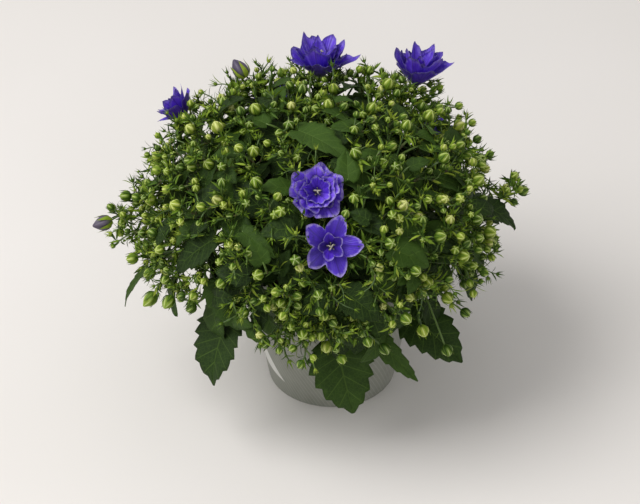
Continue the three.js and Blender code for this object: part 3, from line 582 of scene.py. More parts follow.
def smoothed_stem(shoot):
    """The shoot's straight stretches, divided finely and rounded at their corners."""
    points = np.array([shoot.spine_point(k / STEM_DIVISIONS) for k in range(STEM_DIVISIONS + 1)])
    for _ in range(2):
        points[1:-1] = points[1:-1] * 0.5 + (points[:-2] + points[2:]) * 0.25
    return points


def bloom_blocks(place, margin):
    """True where a bud would sit in a bloom or before its face."""
    for bloom in BLOOMS.values():
        foot, axis = foot_and_axis(bloom)
        rise = (place - foot) @ axis
        reach = apart(place - foot, axis * rise)
        widest = bloom.radius * min(1, BLOOM_FOOT + max(rise, 0) / bloom.depth)
        if BLOOM_BEHIND < rise < bloom.depth + BLOOM_BEFORE and reach < widest + margin:
            return True
    return False


def shows_pot(place):
    beside = abs(place[0] - TONGUE_MIDDLE) > TONGUE_HALF_WIDTH
    return place[1] < OPEN_FRONT and place[2] < OPEN_BELOW and beside


def is_opening(place):
    """True in the small openings of the mound, where leaves show between the buds."""
    x, y, z = place * OPENING_SCALE
    waves = math.sin(x + 1.3 * math.sin(z)) + math.sin(y + 1.7 * math.sin(x))
    return waves + math.sin(1.3 * z + math.sin(y)) > OPENING_LEVEL


class Thicket:
    def __init__(self, shoots):
        self.shoots = {shoot.name: shoot for shoot in shoots}
        self.random, self.between = seeded(EXTRA_SEED)
        self.branches = Branches()
        self.heads = np.zeros((0, 4))
        blades = [blade for shoot in shoots for blade, *_ in shoot.leaves]
        large = [blade for blade in blades if blade.arch == LARGE_ARCH]
        self.blades = np.array([place for blade in blades for place, _ in blade.balls()])
        self.shown = np.array([place for blade in large for place, _ in blade.balls()])
        for shoot in shoots:
            self.branches.add([shoot.spine_point(k / 12) for k in range(4, 13)], shoot.name)
            for start, end, _ in shoot.twigs:
                self.branches.add([mix(start, end, 0.3), mix(start, end, 0.85)], shoot.name)
            for kind, place, _, radius in shoot.heads:
                if kind == "bud":
                    self.heads = np.vstack((self.heads, (*place, radius)))

    def hides_leaf(self, place, margin):
        """True before a large leaf, as seen from the front and above."""
        away = place - self.shown
        rise = away @ FRONT
        beside = np.sqrt(np.maximum((away**2).sum(1) - rise**2, 0))
        return bool(((rise > 0) & (rise < FREE_SIGHT) & (beside < margin)).any())

    def has_room(self, place, radius, gap):
        if place[2] < LOWEST_HEAD or shows_pot(place) or self.hides_leaf(place, radius):
            return False
        if not clear_of_pot(place, radius * 1.3) or bloom_blocks(place, radius + 1):
            return False
        if (((self.blades - place) ** 2).sum(1) < (radius + 1.5) ** 2).any():
            return False
        distances = np.sqrt(((self.heads[:, :3] - place) ** 2).sum(1))
        return not (distances < self.heads[:, 3] + radius + gap).any()

    def sprout(self, place, radius, kind, farthest, gap=0.8):
        """Grows a twig to a place and sets a head on it, if there is room."""
        facing = outward(place)
        found = self.has_room(place, radius, gap) and self.branches.nearest(place, facing, farthest)
        if not found:
            return
        start, way, owner = found
        span = apart(start, place)
        control = start + unit(way + unit(place - start) * SPRIG_SWING) * (span * SPRIG_RUN)
        axis = unit(unit(place - control) + facing * HEAD_OUTWARD + UP * HEAD_UPWARD)
        points = bent(start, control, place - axis * (radius * HEAD_SEAT), 4)
        shoot = self.shoots[owner]
        thick = min(THICKEST_SPRIG, SPRIG_RADIUS + SPRIG_GROWTH * span**0.7)
        shoot.sprigs.append((points, thick, TUFT_TIP if radius < 2 else BUD_TIP))
        shoot.heads.append((kind, place, axis, radius))
        self.branches.add(list(points)[:-1], owner)
        self.heads = np.vstack((self.heads, (*place, radius)))
        self.dress(shoot, points)

    def dress(self, shoot, points):
        """Narrow leaves where a twig forks and halfway along it."""
        for at in (1, 2, 3):
            if self.random() < FORK_CHANCE:
                way = unit(points[at + 1] - points[at])
                turned = frame_of(way)
                turn = self.between(0, TURN)
                for side in (0, math.pi):
                    if self.random() < BRACT_CHANCE:
                        heading = unit(turned @ ray(turn + side) + way * self.between(*BRACT_LEAN))
                        shoot.bracts.append((points[at], heading, way, self.between(*BRACT_LENGTHS)))

    def spray(self, count, turn, depths, radii, kind, farthest):
        for index in range(count):
            azimuth = index * GOLDEN_ANGLE + turn + self.between(-SPRAY_SWAY, SPRAY_SWAY)
            polar = dome_polar((index + 0.5) / count, SPRAY_LAST_POLAR)
            place = on_mound(polar, azimuth, self.between(*depths))
            place = place + vec(*(self.between(-SPRAY_SHIFT, SPRAY_SHIFT) for _ in range(3)))
            if not is_opening(place):
                self.sprout(place, self.between(*radii), kind, farthest)

    def cluster(self, middle, reaches, count, radii, kind):
        """Small heads crowded round a place, on its inner side."""
        for _ in range(count):
            way = unit(vec(*(self.between(-1, 1) for _ in range(3))) - outward(middle) * CLUSTER_INWARD)
            place = middle + way * self.between(*reaches)
            self.sprout(place, self.between(*radii), kind, CLUSTER_TWIG, CLUSTER_ROOM)

    def collar(self, bloom):
        """Buds and tufts round the foot of a bloom."""
        foot, axis = foot_and_axis(bloom)
        turned = frame_of(axis)
        for k in range(COLLAR_HEADS):
            rise = self.between(-6, bloom.depth * 0.3)
            widest = bloom.radius * (BLOOM_FOOT + max(rise, 0) / bloom.depth)
            reach = widest + self.between(*COLLAR_GAPS)
            place = foot + turned @ (ray(k * GOLDEN_ANGLE) * reach + UP * rise)
            self.sprout(place, self.between(*COLLAR_RADII), "bud" if k % 2 else "tuft",
                        COLLAR_TWIG, COLLAR_ROOM)

    def leaf(self, place, lengths):
        """A leaf inside the mound, on the nearest stem."""
        facing = unit(outward(place) + UP * INNER_LIFT)
        found = self.branches.nearest(place, unit(outward(place)), INNER_TWIG)
        if not found:
            return
        start, _, owner = found
        heading = leaf_heading(facing, self.between(0, TURN), self.between(*INNER_LEAN))
        length = self.between(*lengths)
        tip = place + heading * length
        middle = mix(place, tip, 0.5)
        if not (clear_of_pot(place, 2) and clear_of_pot(tip, 2) and clear_of_pot(middle, 4)):
            return
        if bloom_blocks(middle, 4) or bloom_blocks(tip, 1):
            return
        width = length * self.between(*INNER_RATIOS)
        blade = Blade(place, tip, width, facing, self.between(*INNER_ARCHES), self.between(*INNER_FOLDS))
        self.shoots[owner].small_leaves.append((blade, start, mix(start, place, PETIOLE_BEND) + UP * 2))

    def grow_leaves(self):
        for count, last, depths, lengths in INNER_LEAVES:
            for index in range(count):
                polar = dome_polar((index + 0.5) / count, last)
                self.leaf(on_mound(polar, index * GOLDEN_ANGLE + 2.2, self.between(*depths)), lengths)
        for index in range(SKIRT_LEAVES):
            place = ray(index * GOLDEN_ANGLE) * self.between(*SKIRT_REACHES)
            self.leaf(place + UP * self.between(*SKIRT_HEIGHTS), SKIRT_LENGTHS)
        for index in range(OPENING_LEAVES):
            polar = dome_polar((index + 0.5) / OPENING_LEAVES, OPENING_LAST_POLAR)
            place = on_mound(polar, index * GOLDEN_ANGLE + 0.9, OPENING_DEPTH)
            if is_opening(place) and self.random() < OPENING_CHANCE:
                self.leaf(place, OPENING_LENGTHS)

    def ripen(self, place, kind):
        """Turns the bud at a place into another kind."""
        for shoot in self.shoots.values():
            shoot.heads = [(kind, *head[1:]) if apart(head[1], place) < 0.1 else head
                           for head in shoot.heads]


def thicken(shoots):
    thicket = Thicket(shoots)
    thicket.grow_leaves()
    for shoot in shoots:
        for start, end, _ in shoot.twigs:
            thicket.dress(shoot, [mix(start, end, k / 4) for k in range(5)])
    for place, radius, kind in FAR_BUDS:
        for farthest, *heads in FAR_CLUSTERS:
            thicket.cluster(vec(*place), (radius + 4, farthest), *heads)
        thicket.ripen(vec(*place), kind)
    for place in TONGUE:
        for farthest, *heads in TONGUE_CLUSTERS:
            thicket.cluster(vec(*place), (1, farthest), *heads)
    for bloom in BLOOMS.values():
        thicket.collar(bloom)
    for spray in SPRAYS:
        thicket.spray(*spray)
    return thicket


# Meshes
STEM, LEAF, BODY, SEPAL, RIPE = range(5)
PETAL, STYLE = range(2)


class Build:
    """Gathers vertices and faces with a material slot each, and makes one object of them."""

    def __init__(self, node):
        self.node = node
        self.points, self.forms, self.faces, self.slots = [], [], [], []
        self.count = 0

    def add(self, points, faces, slot=0, form=None):
        """form holds three numbers a vertex, which the materials read. Returns the first vertex."""
        points = np.asarray(points, float)
        first = self.count
        self.points.append(points)
        self.forms.append(np.zeros((len(points), 3)) if form is None else np.asarray(form, float))
        self.join([np.asarray(face) + first for face in faces], slot)
        self.count += len(points)
        return first

    def join(self, faces, slot):
        """Faces between vertices that are already there."""
        self.faces.extend([int(corner) for corner in face] for face in faces)
        self.slots.extend([slot] * len(faces))

    def finish(self, materials, slot):
        name = f"dressed_{self.node}"
        mesh = bpy.data.meshes.new(name)
        points = np.concatenate(self.points) * MM
        mesh.from_pydata(points.tolist(), [], self.faces)
        form = mesh.attributes.new("form", "FLOAT_VECTOR", "POINT")
        form.data.foreach_set("vector", np.concatenate(self.forms).astype(np.float32).ravel())
        for made in materials:
            mesh.materials.append(made)
        mesh.polygons.foreach_set("material_index", self.slots)
        mesh.polygons.foreach_set("use_smooth", np.ones(len(self.faces), bool))
        mesh.validate()
        mesh.update()
        piece = bpy.data.objects.new(name, mesh)
        bpy.context.scene.collection.objects.link(piece)
        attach(piece, "root")
        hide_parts(self.node)


def grid_faces(rows, columns, closed):
    """Quads of a grid whose vertices run along its rows."""
    across = columns if closed else columns - 1
    return [(r * columns + c, r * columns + (c + 1) % columns, (r + 1) * columns + (c + 1) % columns,
             (r + 1) * columns + c) for r in range(rows - 1) for c in range(across)]


def fan_faces(first, count, tip):
    return [(first + k, first + (k + 1) % count, tip) for k in range(count)]


def flipped(faces):
    return [face[::-1] for face in faces]


def circle(count):
    """Unit points round the upright axis."""
    turns = np.arange(count) * TURN / count
    return np.stack((np.cos(turns), np.sin(turns), np.zeros(count)), 1)


def add_tube(build, points, radii, sides, slot, shade):
    points = np.asarray(points)
    ways = np.gradient(points, axis=0)
    across = vec(1, 0, 0) if abs(unit(ways[0])[2]) > 0.9 else UP
    ring = circle(sides)
    rings = []
    for point, way, radius in zip(points, ways, radii):
        way = unit(way)
        side = unit(cross(way, across))
        across = unit(cross(side, way))
        rings.append(point + radius * (ring[:, :1] * across + ring[:, 1:2] * side))
    rings.append([points[-1] + unit(ways[-1]) * radii[-1] * 0.5])
    body = np.concatenate(rings)
    faces = grid_faces(len(points), sides, True)
    faces += fan_faces((len(points) - 1) * sides, sides, len(body) - 1)
    along = np.append(np.repeat(np.linspace(0, 1, len(points)), sides), 1)
    build.add(body, faces, slot, np.stack((along, np.zeros(len(body)), np.full(len(body), shade)), 1))


def bud_template(heights, widths, meridians, ribs, sepal):
    """Body and sepals of a bud one millimetre in radius: [(points, faces, slot, form)]."""
    ring = circle(meridians)
    rib = np.sin(SEPALS * np.arange(meridians) * math.pi / meridians) ** 2 * 2 - 1
    rows = len(heights)
    points, form = [], []
    for row, (height, width) in enumerate(zip(heights, widths)):
        points.append(ring * (width * (1 + ribs * rib))[:, None] + UP * height)
        form.append(np.stack((np.full(meridians, row / rows), rib, np.zeros(meridians)), 1))
    points.append([(0, 0, heights[-1] + 0.08)])
    form.append([(1, 1, 0)])
    faces = grid_faces(rows, meridians, True)
    faces += fan_faces((rows - 1) * meridians, meridians, rows * meridians)
    parts = [(np.concatenate(points), faces, BODY, np.concatenate(form))]
    for k in range(SEPALS):
        out = ray(TURN * k / SEPALS)
        side = cross(UP, out)
        strip, shade = [], []
        for row, (reach, height, half) in enumerate(sepal):
            middle = out * reach + UP * height
            crease = out * half * 0.35
            strip += [middle - side * half - crease, middle + crease * 0.3, middle + side * half - crease]
            shade += [(row / (len(sepal) - 1), edge, 0) for edge in (1, 0, 1)]
        parts.append((np.array(strip), grid_faces(len(sepal), 3, False), SEPAL, np.array(shade)))
    return parts


# Heads one millimetre in radius: heights and widths of the body, its meridians and ribs, and the sepals'
# reach, height and half width
ROUND_BUD = bud_template(
    (-0.8, -0.5, -0.05, 0.42, 0.85, 1.12), (0.35, 0.78, 0.96, 0.9, 0.62, 0.24), 20, 0.1,
    ((0.45, -0.85, 0.26), (0.9, -0.42, 0.36), (1.07, 0.1, 0.29), (1.0, 0.64, 0.18), (0.94, 1.3, 0.015)))
LONG_BUD = bud_template(
    (-0.8, -0.5, 0, 0.55, 1.1, 1.5, 1.75), (0.35, 0.74, 0.92, 0.9, 0.66, 0.36, 0.16), 20, 0.13,
    ((0.45, -0.85, 0.24), (0.9, -0.42, 0.34), (1.06, 0.1, 0.27), (1.04, 0.65, 0.16), (1.06, 1.3, 0.015)))
TUFT = bud_template(
    (-0.7, -0.2, 0.4, 0.8), (0.4, 0.72, 0.6, 0.3), 5, 0.0,
    ((0.35, -0.8, 0.22), (0.95, -0.1, 0.3), (1.3, 0.9, 0.22), (1.7, 2.6, 0.02)))
CALYX = bud_template(
    (-3.4, -1.6, -0.4), (1.0, 2.2, 2.5), 10, 0.12,
    ((2.0, -1.2, 0.9), (4.2, -0.7, 1.0), (6.2, 0.0, 0.7), (8.2, 1.1, 0.06)))

# Template of each kind of head, and the slot of its body
HEADS = {"bud": (ROUND_BUD, BODY), "long": (LONG_BUD, BODY), "ripe": (LONG_BUD, RIPE),
         "tuft": (TUFT, SEPAL), "calyx": (CALYX, SEPAL)}


def add_head(build, kind, place, axis, radius, shade):
    template, body_slot = HEADS[kind]
    turned = frame_of(axis)
    for points, faces, slot, form in template:
        form = form.copy()
        form[:, 2] = shade
        build.add((points * radius) @ turned.T + place, faces, body_slot if slot == BODY else slot, form)


# Narrow leaf: share of its length, half width and rise as shares of the length
BRACT_SHAPE = ((0, 0.03, 0), (0.3, 0.1, 0.02), (0.65, 0.085, 0.0), (1, 0.004, -0.08))


def add_bract(build, foot, heading, way, length, shade):
    side = unit(cross(heading, way))
    normal = cross(side, heading)
    points, form = [], []
    for share, half, rise in BRACT_SHAPE:
        middle = foot + heading * (share * length) + normal * (rise * length)
        edge = side * (half * length)
        lift = normal * (half * length * 0.4)
        points += [middle - edge + lift, middle, middle + edge + lift]
        form += [(share, 1, shade), (share, 0, shade), (share, 1, shade)]
    build.add(points, grid_faces(len(BRACT_SHAPE), 3, False), SEPAL, form)


# Blade outline: the solids' spline through half a heart, a little fuller, with finer forward teeth
HALF_OUTLINE = np.array(((0.02, 0), (-0.1, 0.45), (0.1, 0.97), (0.42, 0.93), (0.76, 0.55), (1, 0)))
TOOTH_PEAK = 0.75
BLADE_THICKNESS = 0.6
DROOP_FROM, DROOP = 0.6, 0.2


def outline_point(share):
    """A smooth curve through the points of the half outline."""
    at = share * (len(HALF_OUTLINE) - 1)
    k = min(int(at), len(HALF_OUTLINE) - 2)
    t = at - k
    a, b, c, d = (HALF_OUTLINE[min(max(k + i, 0), len(HALF_OUTLINE) - 1)] for i in (-1, 0, 1, 2))
    m, n = (c - a) / 2, (d - b) / 2
    return (2 * b - 2 * c + m + n) * t**3 + (-3 * b + 3 * c - 2 * m - n) * t**2 + m * t + b


def leaf_template(teeth, steps, columns, notch):
    """(u, v, rise, tooth count along, share across) of one half, in rows from foot to tip."""
    rows = []
    for k in range(teeth * steps + 1):
        share = k / (teeth * steps)
        u, v = outline_point(share)
        tooth = share * teeth % 1
        closing, opening = 1 - tooth / TOOTH_PEAK, (tooth - TOOTH_PEAK) / (1 - TOOTH_PEAK)
        bite = notch * (closing if tooth < TOOTH_PEAK else opening)
        if 0 < k < teeth * steps:
            u, v = u + 0.1 * (notch - bite), v * (1 - bite)
        root = 0.97 * share**3 + 0.03 * share
        for across in (c / columns for c in range(columns + 1)):
            bulge = math.sin(math.pi * tooth) * math.sin(math.pi * across)
            rows.append((mix(root, u, across), v * across, bulge, share * teeth, across))
    return np.array(rows), teeth * steps + 1, columns + 1


LARGE_BLADE = leaf_template(9, 4, 5, 0.17)
SMALL_BLADE = leaf_template(5, 3, 3, 0.16)


def add_leaf(build, blade, start, bend, template, shade, wave):
    """Petiole and blade. Each half of the blade has two faces, joined round the edge."""
    rows, count, columns = template
    route = np.vstack((bent(start, bend, blade.foot, 6)[:-1], blade.foot + blade.forward * 0.5))
    add_tube(build, route, np.linspace(PETIOLE_RADIUS, 0.65, len(route)), 5, STEM, shade)
    faces = grid_faces(count, columns, False)
    for sign in (1, -1):
        edges = []
        for lift, under in ((0.0, 0), (-BLADE_THICKNESS, 1)):
            points = []
            for u, v, bulge, along, across in rows:
                sway = wave * math.sin(along * 1.9 + shade * 20 + sign) * across**2 * blade.width / 40
                droop = DROOP * blade.length * max(0.0, u - DROOP_FROM) ** 2
                rise = sway - droop + lift * (1 - 0.6 * across) + 0.012 * blade.width * bulge
                points.append(blade.point(u, v * sign, rise))
            form = np.stack((rows[:, 3], rows[:, 4], np.full(len(rows), shade + 2 * under)), 1)
            turned = faces if (sign > 0) != bool(under) else flipped(faces)
            edges.append(build.add(points, turned, LEAF, form) + np.arange(count) * columns + columns - 1)
        upper, lower = edges
        rim = [(upper[k], upper[k + 1], lower[k + 1], lower[k]) for k in range(count - 1)]
        build.join(flipped(rim) if sign > 0 else rim, LEAF)


def add_whorl(build, middle, turned, shade):
    for k in range(SEPALS):
        heading = turned @ unit(ray(k * TURN / SEPALS, WHORL_SLOPE))
        add_bract(build, middle, heading, turned[:, 2], WHORL_REACH * 1.12, shade)


def dress_shoot(shoot, materials, tint):
    build = Build(shoot.name)
    root = shoot.foot * vec(1, 1, 0) + UP * (SOIL_TOP - STEM_HOLE_DEPTH + CLEARANCE)
    stem = np.vstack((root, smoothed_stem(shoot)))
    add_tube(build, stem, np.linspace(STEM_FOOT_RADIUS, STEM_TIP_RADIUS, len(stem)), 8, STEM, tint())
    for start, end, radius in shoot.twigs:
        control = mix(start, end, 0.5) + UP * (0.04 * apart(start, end))
        radii = np.linspace(radius, radius * 0.75, 6)
        add_tube(build, bent(start, control, end, 5), radii, 5, STEM, tint())
    for points, thick, thin in shoot.sprigs:
        add_tube(build, points, np.linspace(thick, thin, len(points)), 4, STEM, tint())
    for whorl in shoot.whorls:
        add_whorl(build, *whorl, tint())
    for bract in shoot.bracts:
        add_bract(build, *bract, tint())
    for leaf in shoot.leaves:
        add_leaf(build, *leaf, LARGE_BLADE, tint(), 1.2)
    for leaf in shoot.small_leaves:
        add_leaf(build, *leaf, SMALL_BLADE, tint(), 1.5)
    for head in shoot.heads:
        add_head(build, *head, tint())
    build.finish(materials, "foliage")


# Blooms. The solids' petals rise through a waist, whose reach and height are shares of radius and depth.
LOBES = 5
LOBE_STEPS = 14
PETAL_ROWS = 13
PETAL_HALF_THICKNESS = 0.22
WAIST_REACH, WAIST_HEIGHT = 0.44, 0.42
UPRIGHT, OPENING = 1.3, 0.6


def lobe_edge(phi, notch, point):
    """How far a lobe reaches beside its middle, as a share of the radius."""
    tip = 1 - abs(phi) ** 1.5
    return notch + (1 - notch) * tip + point * math.exp(-((phi / 0.13) ** 2))


def add_petals(build, turned, foot, size, turn, floor, notch, ruffle, recurve, bowl, tint):
    """One whorl of joined petals: (radius, depth, spread) is its size."""
    radius, depth, spread = size
    level = UPRIGHT - spread * OPENING
    slope = (WAIST_HEIGHT - WAIST_REACH**2 * level) / (WAIST_REACH - WAIST_REACH**2)
    count = LOBES * LOBE_STEPS
    sway = 0.08 + 0.06 * ruffle
    point = 0.05 * max(0.0, 1 - ruffle)
    lift = [(tint() * 2 - 1) * sway for _ in range(LOBES)]
    skew = [(tint() * 2 - 1) * sway for _ in range(LOBES)]
    points, form = [], []
    for t in ((row + 0.35) / (PETAL_ROWS - 0.65) for row in range(PETAL_ROWS)):
        for k in range(count):
            lobe = (k + LOBE_STEPS // 2) // LOBE_STEPS % LOBES
            phi = ((k + LOBE_STEPS / 2) % LOBE_STEPS - LOBE_STEPS / 2) / (LOBE_STEPS / 2)
            q = t * lobe_edge(phi, notch, point) * (1 + 0.5 * lift[lobe] * t)
            height = mix(slope * q + (level - slope) * q * q + lift[lobe] * t * t, level * q**1.6, bowl)
            fold = 0.06 * (1 - phi * phi) * t * t
            waves = 0.08 * math.sin(phi * 7 + lobe * 2.1 + radius) + 0.04 * math.sin(phi * 11 + lobe)
            curl = recurve * max(0.0, q - 0.62) ** 2
            angle = turn + TURN * k / count + skew[lobe] * t * (1 - phi * phi)
            reach = radius * (q + ruffle * 0.045 * math.sin(phi * 5 + lobe * 1.7) * t**2)
            z = floor + depth * height + radius * (ruffle * t * t * waves - fold - curl)
            points.append((math.cos(angle) * reach, math.sin(angle) * reach, z))
            form.append((t, phi, lift[lobe] * 4 + 0.5))
    points, form = np.array(points), np.array(form)
    faces = grid_faces(PETAL_ROWS, count, True)
    lifted = petal_normals(points, count) * PETAL_HALF_THICKNESS * (1.15 - form[:, :1])
    edges = []
    for sign, sheet in ((1, faces), (-1, flipped(faces))):
        first = build.add((points + lifted * sign) @ turned.T + foot, sheet, PETAL, form)
        edges.append(first + len(points) - count)
    outer, inner = edges
    build.join([(outer + k, inner + k, inner + (k + 1) % count, outer + (k + 1) % count)
                for k in range(count)], PETAL)


def petal_normals(points, count):
    grid = points.reshape(-1, count, 3)
    along = np.gradient(grid, axis=0)
    around = np.roll(grid, -1, 1) - np.roll(grid, 1, 1)
    normals = np.cross(around, along)
    return (normals / np.linalg.norm(normals, axis=2, keepdims=True)).reshape(-1, 3)


def add_style(build, turned, foot, depth, tint):
    """Pale club of the style with its curled tips, and five stamens lying round it."""
    height = depth * 0.75
    parts = [([UP * (height * k / 6) for k in range(7)], (0.7, 0.6, 0.55, 0.55, 0.65, 0.75, 0.6), 8, 0.5)]
    for k in range(3):
        out = ray(k * TURN / 3 + tint())
        curl = [UP * (height * 0.96) + out * reach + UP * rise
                for reach, rise in ((0, 0), (0.8, 1.0), (1.7, 1.1), (2.1, 0.4))]
        parts.append((curl, (0.5, 0.45, 0.4, 0.3), 6, 0.9))
    for k in range(5):
        out = ray(k * TURN / 5 + 0.4)
        strand = [out * reach + UP * (height * rise)
                  for reach, rise in ((1.0, 0.1), (1.9, 0.3), (2.4, 0.55), (2.2, 0.72))]
        parts.append((strand, (0.3, 0.35, 0.45, 0.25), 5, 0.2))
    for points, radii, sides, shade in parts:
        add_tube(build, np.array(points) @ turned.T + foot, radii, sides, STYLE, shade)


def dress_bloom(name, style, tint):
    bloom = BLOOMS[name]
    foot, axis = foot_and_axis(bloom)
    turned = frame_of(axis)
    turn = math.radians(bloom.turn)
    build = Build(name)
    size = (bloom.radius, bloom.depth, bloom.spread)
    add_petals(build, turned, foot, size, turn, 0, bloom.notch, bloom.ruffle, 0.5, 0.45, tint)
    for layer in range(bloom.inner):
        share = (layer + 1) / (bloom.inner + 1)
        shrink = mix(0.9, 0.34, share) if bloom.inner > 1 else 0.45
        depth, spread = bloom.depth * mix(1.0, 0.85, share), mix(0.55, 0.2, share) * bloom.spread
        size = (bloom.radius * shrink, depth, spread)
        stagger = math.pi / LOBES * (layer + 1) + (tint() - 0.5) * bloom.ruffle * 0.8
        add_petals(build, turned, foot, size, turn + stagger, 0.5 + layer * 0.5, max(bloom.notch, 0.7),
                   bloom.ruffle * 1.3, 0.1, 0.2, tint)
    add_style(build, turned, foot + axis * 1.5, bloom.depth, tint)
    build.finish([petal_look(name, bloom.tone, bloom.hem), style], "petals")


# Materials
def linear(colour):
    """sRGB from 0 to 255 to linear red, green, blue and 1."""
    parts = [c / 255 for c in colour]
    return tuple(c / 12.92 if c <= 0.04045 else ((c + 0.055) / 1.055) ** 2.4 for c in parts) + (1.0,)


class Look:
    """A node material under construction. Each call adds a node and returns its output."""

    def __init__(self, name, roughness, **sockets):
        self.material = bpy.data.materials.new(name)
        self.material.use_nodes = True
        self.nodes = self.material.node_tree.nodes
        self.links = self.material.node_tree.links
        self.shader = self.nodes["Principled BSDF"]
        self.shader.inputs["Roughness"].default_value = roughness
        for socket, value in sockets.items():
            self.shader.inputs[socket.replace("_", " ")].default_value = value

    def put(self, value, socket):
        if hasattr(value, "is_output"):
            self.links.new(value, socket)
        else:
            socket.default_value = value

    def split(self, vector):
        node = self.nodes.new("ShaderNodeSeparateXYZ")
        self.links.new(vector, node.inputs[0])
        return tuple(node.outputs)

    def form(self):
        """The three numbers that the mesh carries."""
        node = self.nodes.new("ShaderNodeAttribute")
        node.attribute_name = "form"
        return self.split(node.outputs["Vector"])

    def place(self):
        return self.nodes.new("ShaderNodeTexCoord").outputs["Object"]

    def math(self, operation, a, b=0.0, clamp=False):
        node = self.nodes.new("ShaderNodeMath")
        node.operation = operation
        node.use_clamp = clamp
        self.put(a, node.inputs[0])
        self.put(b, node.inputs[1])
        return node.outputs[0]

    def plus(self, a, b, clamp=False):
        return self.math("ADD", a, b, clamp)

    def minus(self, a, b, clamp=False):
        return self.math("SUBTRACT", a, b, clamp)

    def times(self, a, b):
        return self.math("MULTIPLY", a, b)

    def noise(self, scale, detail=2.0):
        node = self.nodes.new("ShaderNodeTexNoise")
        node.inputs["Scale"].default_value = scale
        node.inputs["Detail"].default_value = detail
        self.links.new(self.place(), node.inputs["Vector"])
        return node.outputs["Fac"]

    def ramp(self, value, *stops):
        """Colours between stops, each (position, sRGB colour)."""
        node = self.nodes.new("ShaderNodeValToRGB")
        elements = node.color_ramp.elements
        while len(elements) < len(stops):
            elements.new(0.5)
        for element, (position, colour) in zip(elements, stops):
            element.position = position
            element.color = linear(colour)
        self.put(value, node.inputs["Fac"])
        return node.outputs["Color"]

    def blend(self, share, a, b):
        node = self.nodes.new("ShaderNodeMix")
        node.data_type = "RGBA"
        self.put(share, node.inputs["Factor"])
        for value, socket in ((a, node.inputs[6]), (b, node.inputs[7])):
            self.put(linear(value) if isinstance(value, tuple) else value, socket)
        return node.outputs[2]

    def band(self, value, low, high):
        """0 below low and 1 above high, smooth between."""
        node = self.nodes.new("ShaderNodeMapRange")
        node.interpolation_type = "SMOOTHSTEP"
        self.put(value, node.inputs["Value"])
        node.inputs["From Min"].default_value = low
        node.inputs["From Max"].default_value = high
        return node.outputs["Result"]

    def bump(self, height, strength, distance):
        node = self.nodes.new("ShaderNodeBump")
        node.inputs["Strength"].default_value = strength
        node.inputs["Distance"].default_value = distance
        self.put(height, node.inputs["Height"])
        self.links.new(node.outputs["Normal"], self.shader.inputs["Normal"])

    def finish(self, colour):
        self.put(colour, self.shader.inputs["Base Color"])
        return self.material


def stem_look():
    look = Look("plant_stem", 0.5)
    along, _, tint = look.form()
    green = look.ramp(tint, (0, (48, 74, 26)), (1, (88, 116, 42)))
    foot = look.blend(look.band(along, 0.35, 0.0), green, (78, 66, 40))
    speck = look.noise(900)
    look.bump(speck, 0.3, 0.0002)
    return look.finish(look.blend(look.band(speck, 0.5, 0.75), foot, (98, 122, 56)))


def leaf_look():
    """Dark upper face with paler veins to each tooth; the lower face is paler and dull."""
    look = Look("leaf_blade", 0.6, Specular_IOR_Level=0.15)
    along, across, tint = look.form()
    under = look.math("GREATER_THAN", tint, 1.5)
    tint = look.minus(tint, look.times(under, 2.0))
    patches = look.noise(120, 3)
    shade = look.plus(look.times(tint, 0.75), look.times(patches, 0.45), True)
    face = look.ramp(shade, (0.1, (20, 35, 12)), (0.55, (34, 54, 17)), (1, (55, 81, 25)))
    tooth = look.math("FRACT", look.plus(along, TOOTH_PEAK))
    gap = look.math("ABSOLUTE", look.minus(tooth, 0.5))
    width = look.times(look.minus(1.25, across), 0.075)
    side_vein = look.minus(1.0, look.math("DIVIDE", gap, width), True)
    midrib = look.minus(1.0, look.times(across, 16.0), True)
    net = look.nodes.new("ShaderNodeTexVoronoi")
    net.feature = "DISTANCE_TO_EDGE"
    net.inputs["Scale"].default_value = 420
    look.links.new(look.place(), net.inputs["Vector"])
    fine = look.times(look.band(net.outputs["Distance"], 0.12, 0.0), 0.3)
    veins = look.math("MAXIMUM", look.math("MAXIMUM", side_vein, midrib), fine)
    veined = look.blend(look.times(veins, 0.45), face, (88, 116, 46))
    look.put(look.plus(0.55, look.times(patches, 0.18)), look.shader.inputs["Roughness"])
    look.bump(look.minus(look.times(patches, 0.3), veins), 0.5, 0.0003)
    return look.finish(look.blend(look.times(under, 0.75), veined, (88, 110, 60)))


def body_look():
    """Yellow-green bud with painted shade below and in its grooves, and a painted whitish highlight on its
    upper ribs.
    """
    look = Look("bud_body", 0.5, Specular_IOR_Level=0.3)
    height, rib, tint = look.form()
    greens = ((0, (84, 116, 26)), (0.45, (128, 154, 42)), (0.85, (168, 184, 70)), (1, (196, 200, 116)))
    # Painted shade: the lower part of the bud is darkened to dark green.
    shaded = look.blend(look.band(height, 0.55, 0.1), look.ramp(tint, *greens), (46, 76, 18))
    # Painted shade: the grooves between the ribs are darkened.
    groove_shaded = look.blend(look.times(look.band(rib, 0.1, -1.0), 0.5), shaded, (72, 98, 24))
    # Painted highlight: the ribs are whitened only on the upper part of the bud, where the light falls.
    pale = look.times(look.band(rib, 0.45, 1.0), look.band(height, 0.25, 0.8))
    look.bump(look.noise(700), 0.25, 0.0003)
    return look.finish(look.blend(look.times(pale, 0.8), groove_shaded, (222, 226, 172)))


def sepal_look():
    look = Look("sepal_and_bract", 0.6, Specular_IOR_Level=0.2)
    along, edge, tint = look.form()
    grain = look.noise(300)
    shade = look.plus(look.times(tint, 0.9), look.times(grain, 0.25), True)
    greens = ((0, (20, 42, 6)), (0.5, (60, 92, 18)), (0.85, (114, 142, 34)), (1, (150, 168, 58)))
    rib = look.blend(look.times(look.band(edge, 0.25, 0.0), 0.5), look.ramp(shade, *greens), (132, 156, 70))
    look.bump(grain, 0.2, 0.0002)
    return look.finish(look.blend(look.times(look.band(along, 0.75, 1.0), 0.35), rib, (96, 92, 40)))


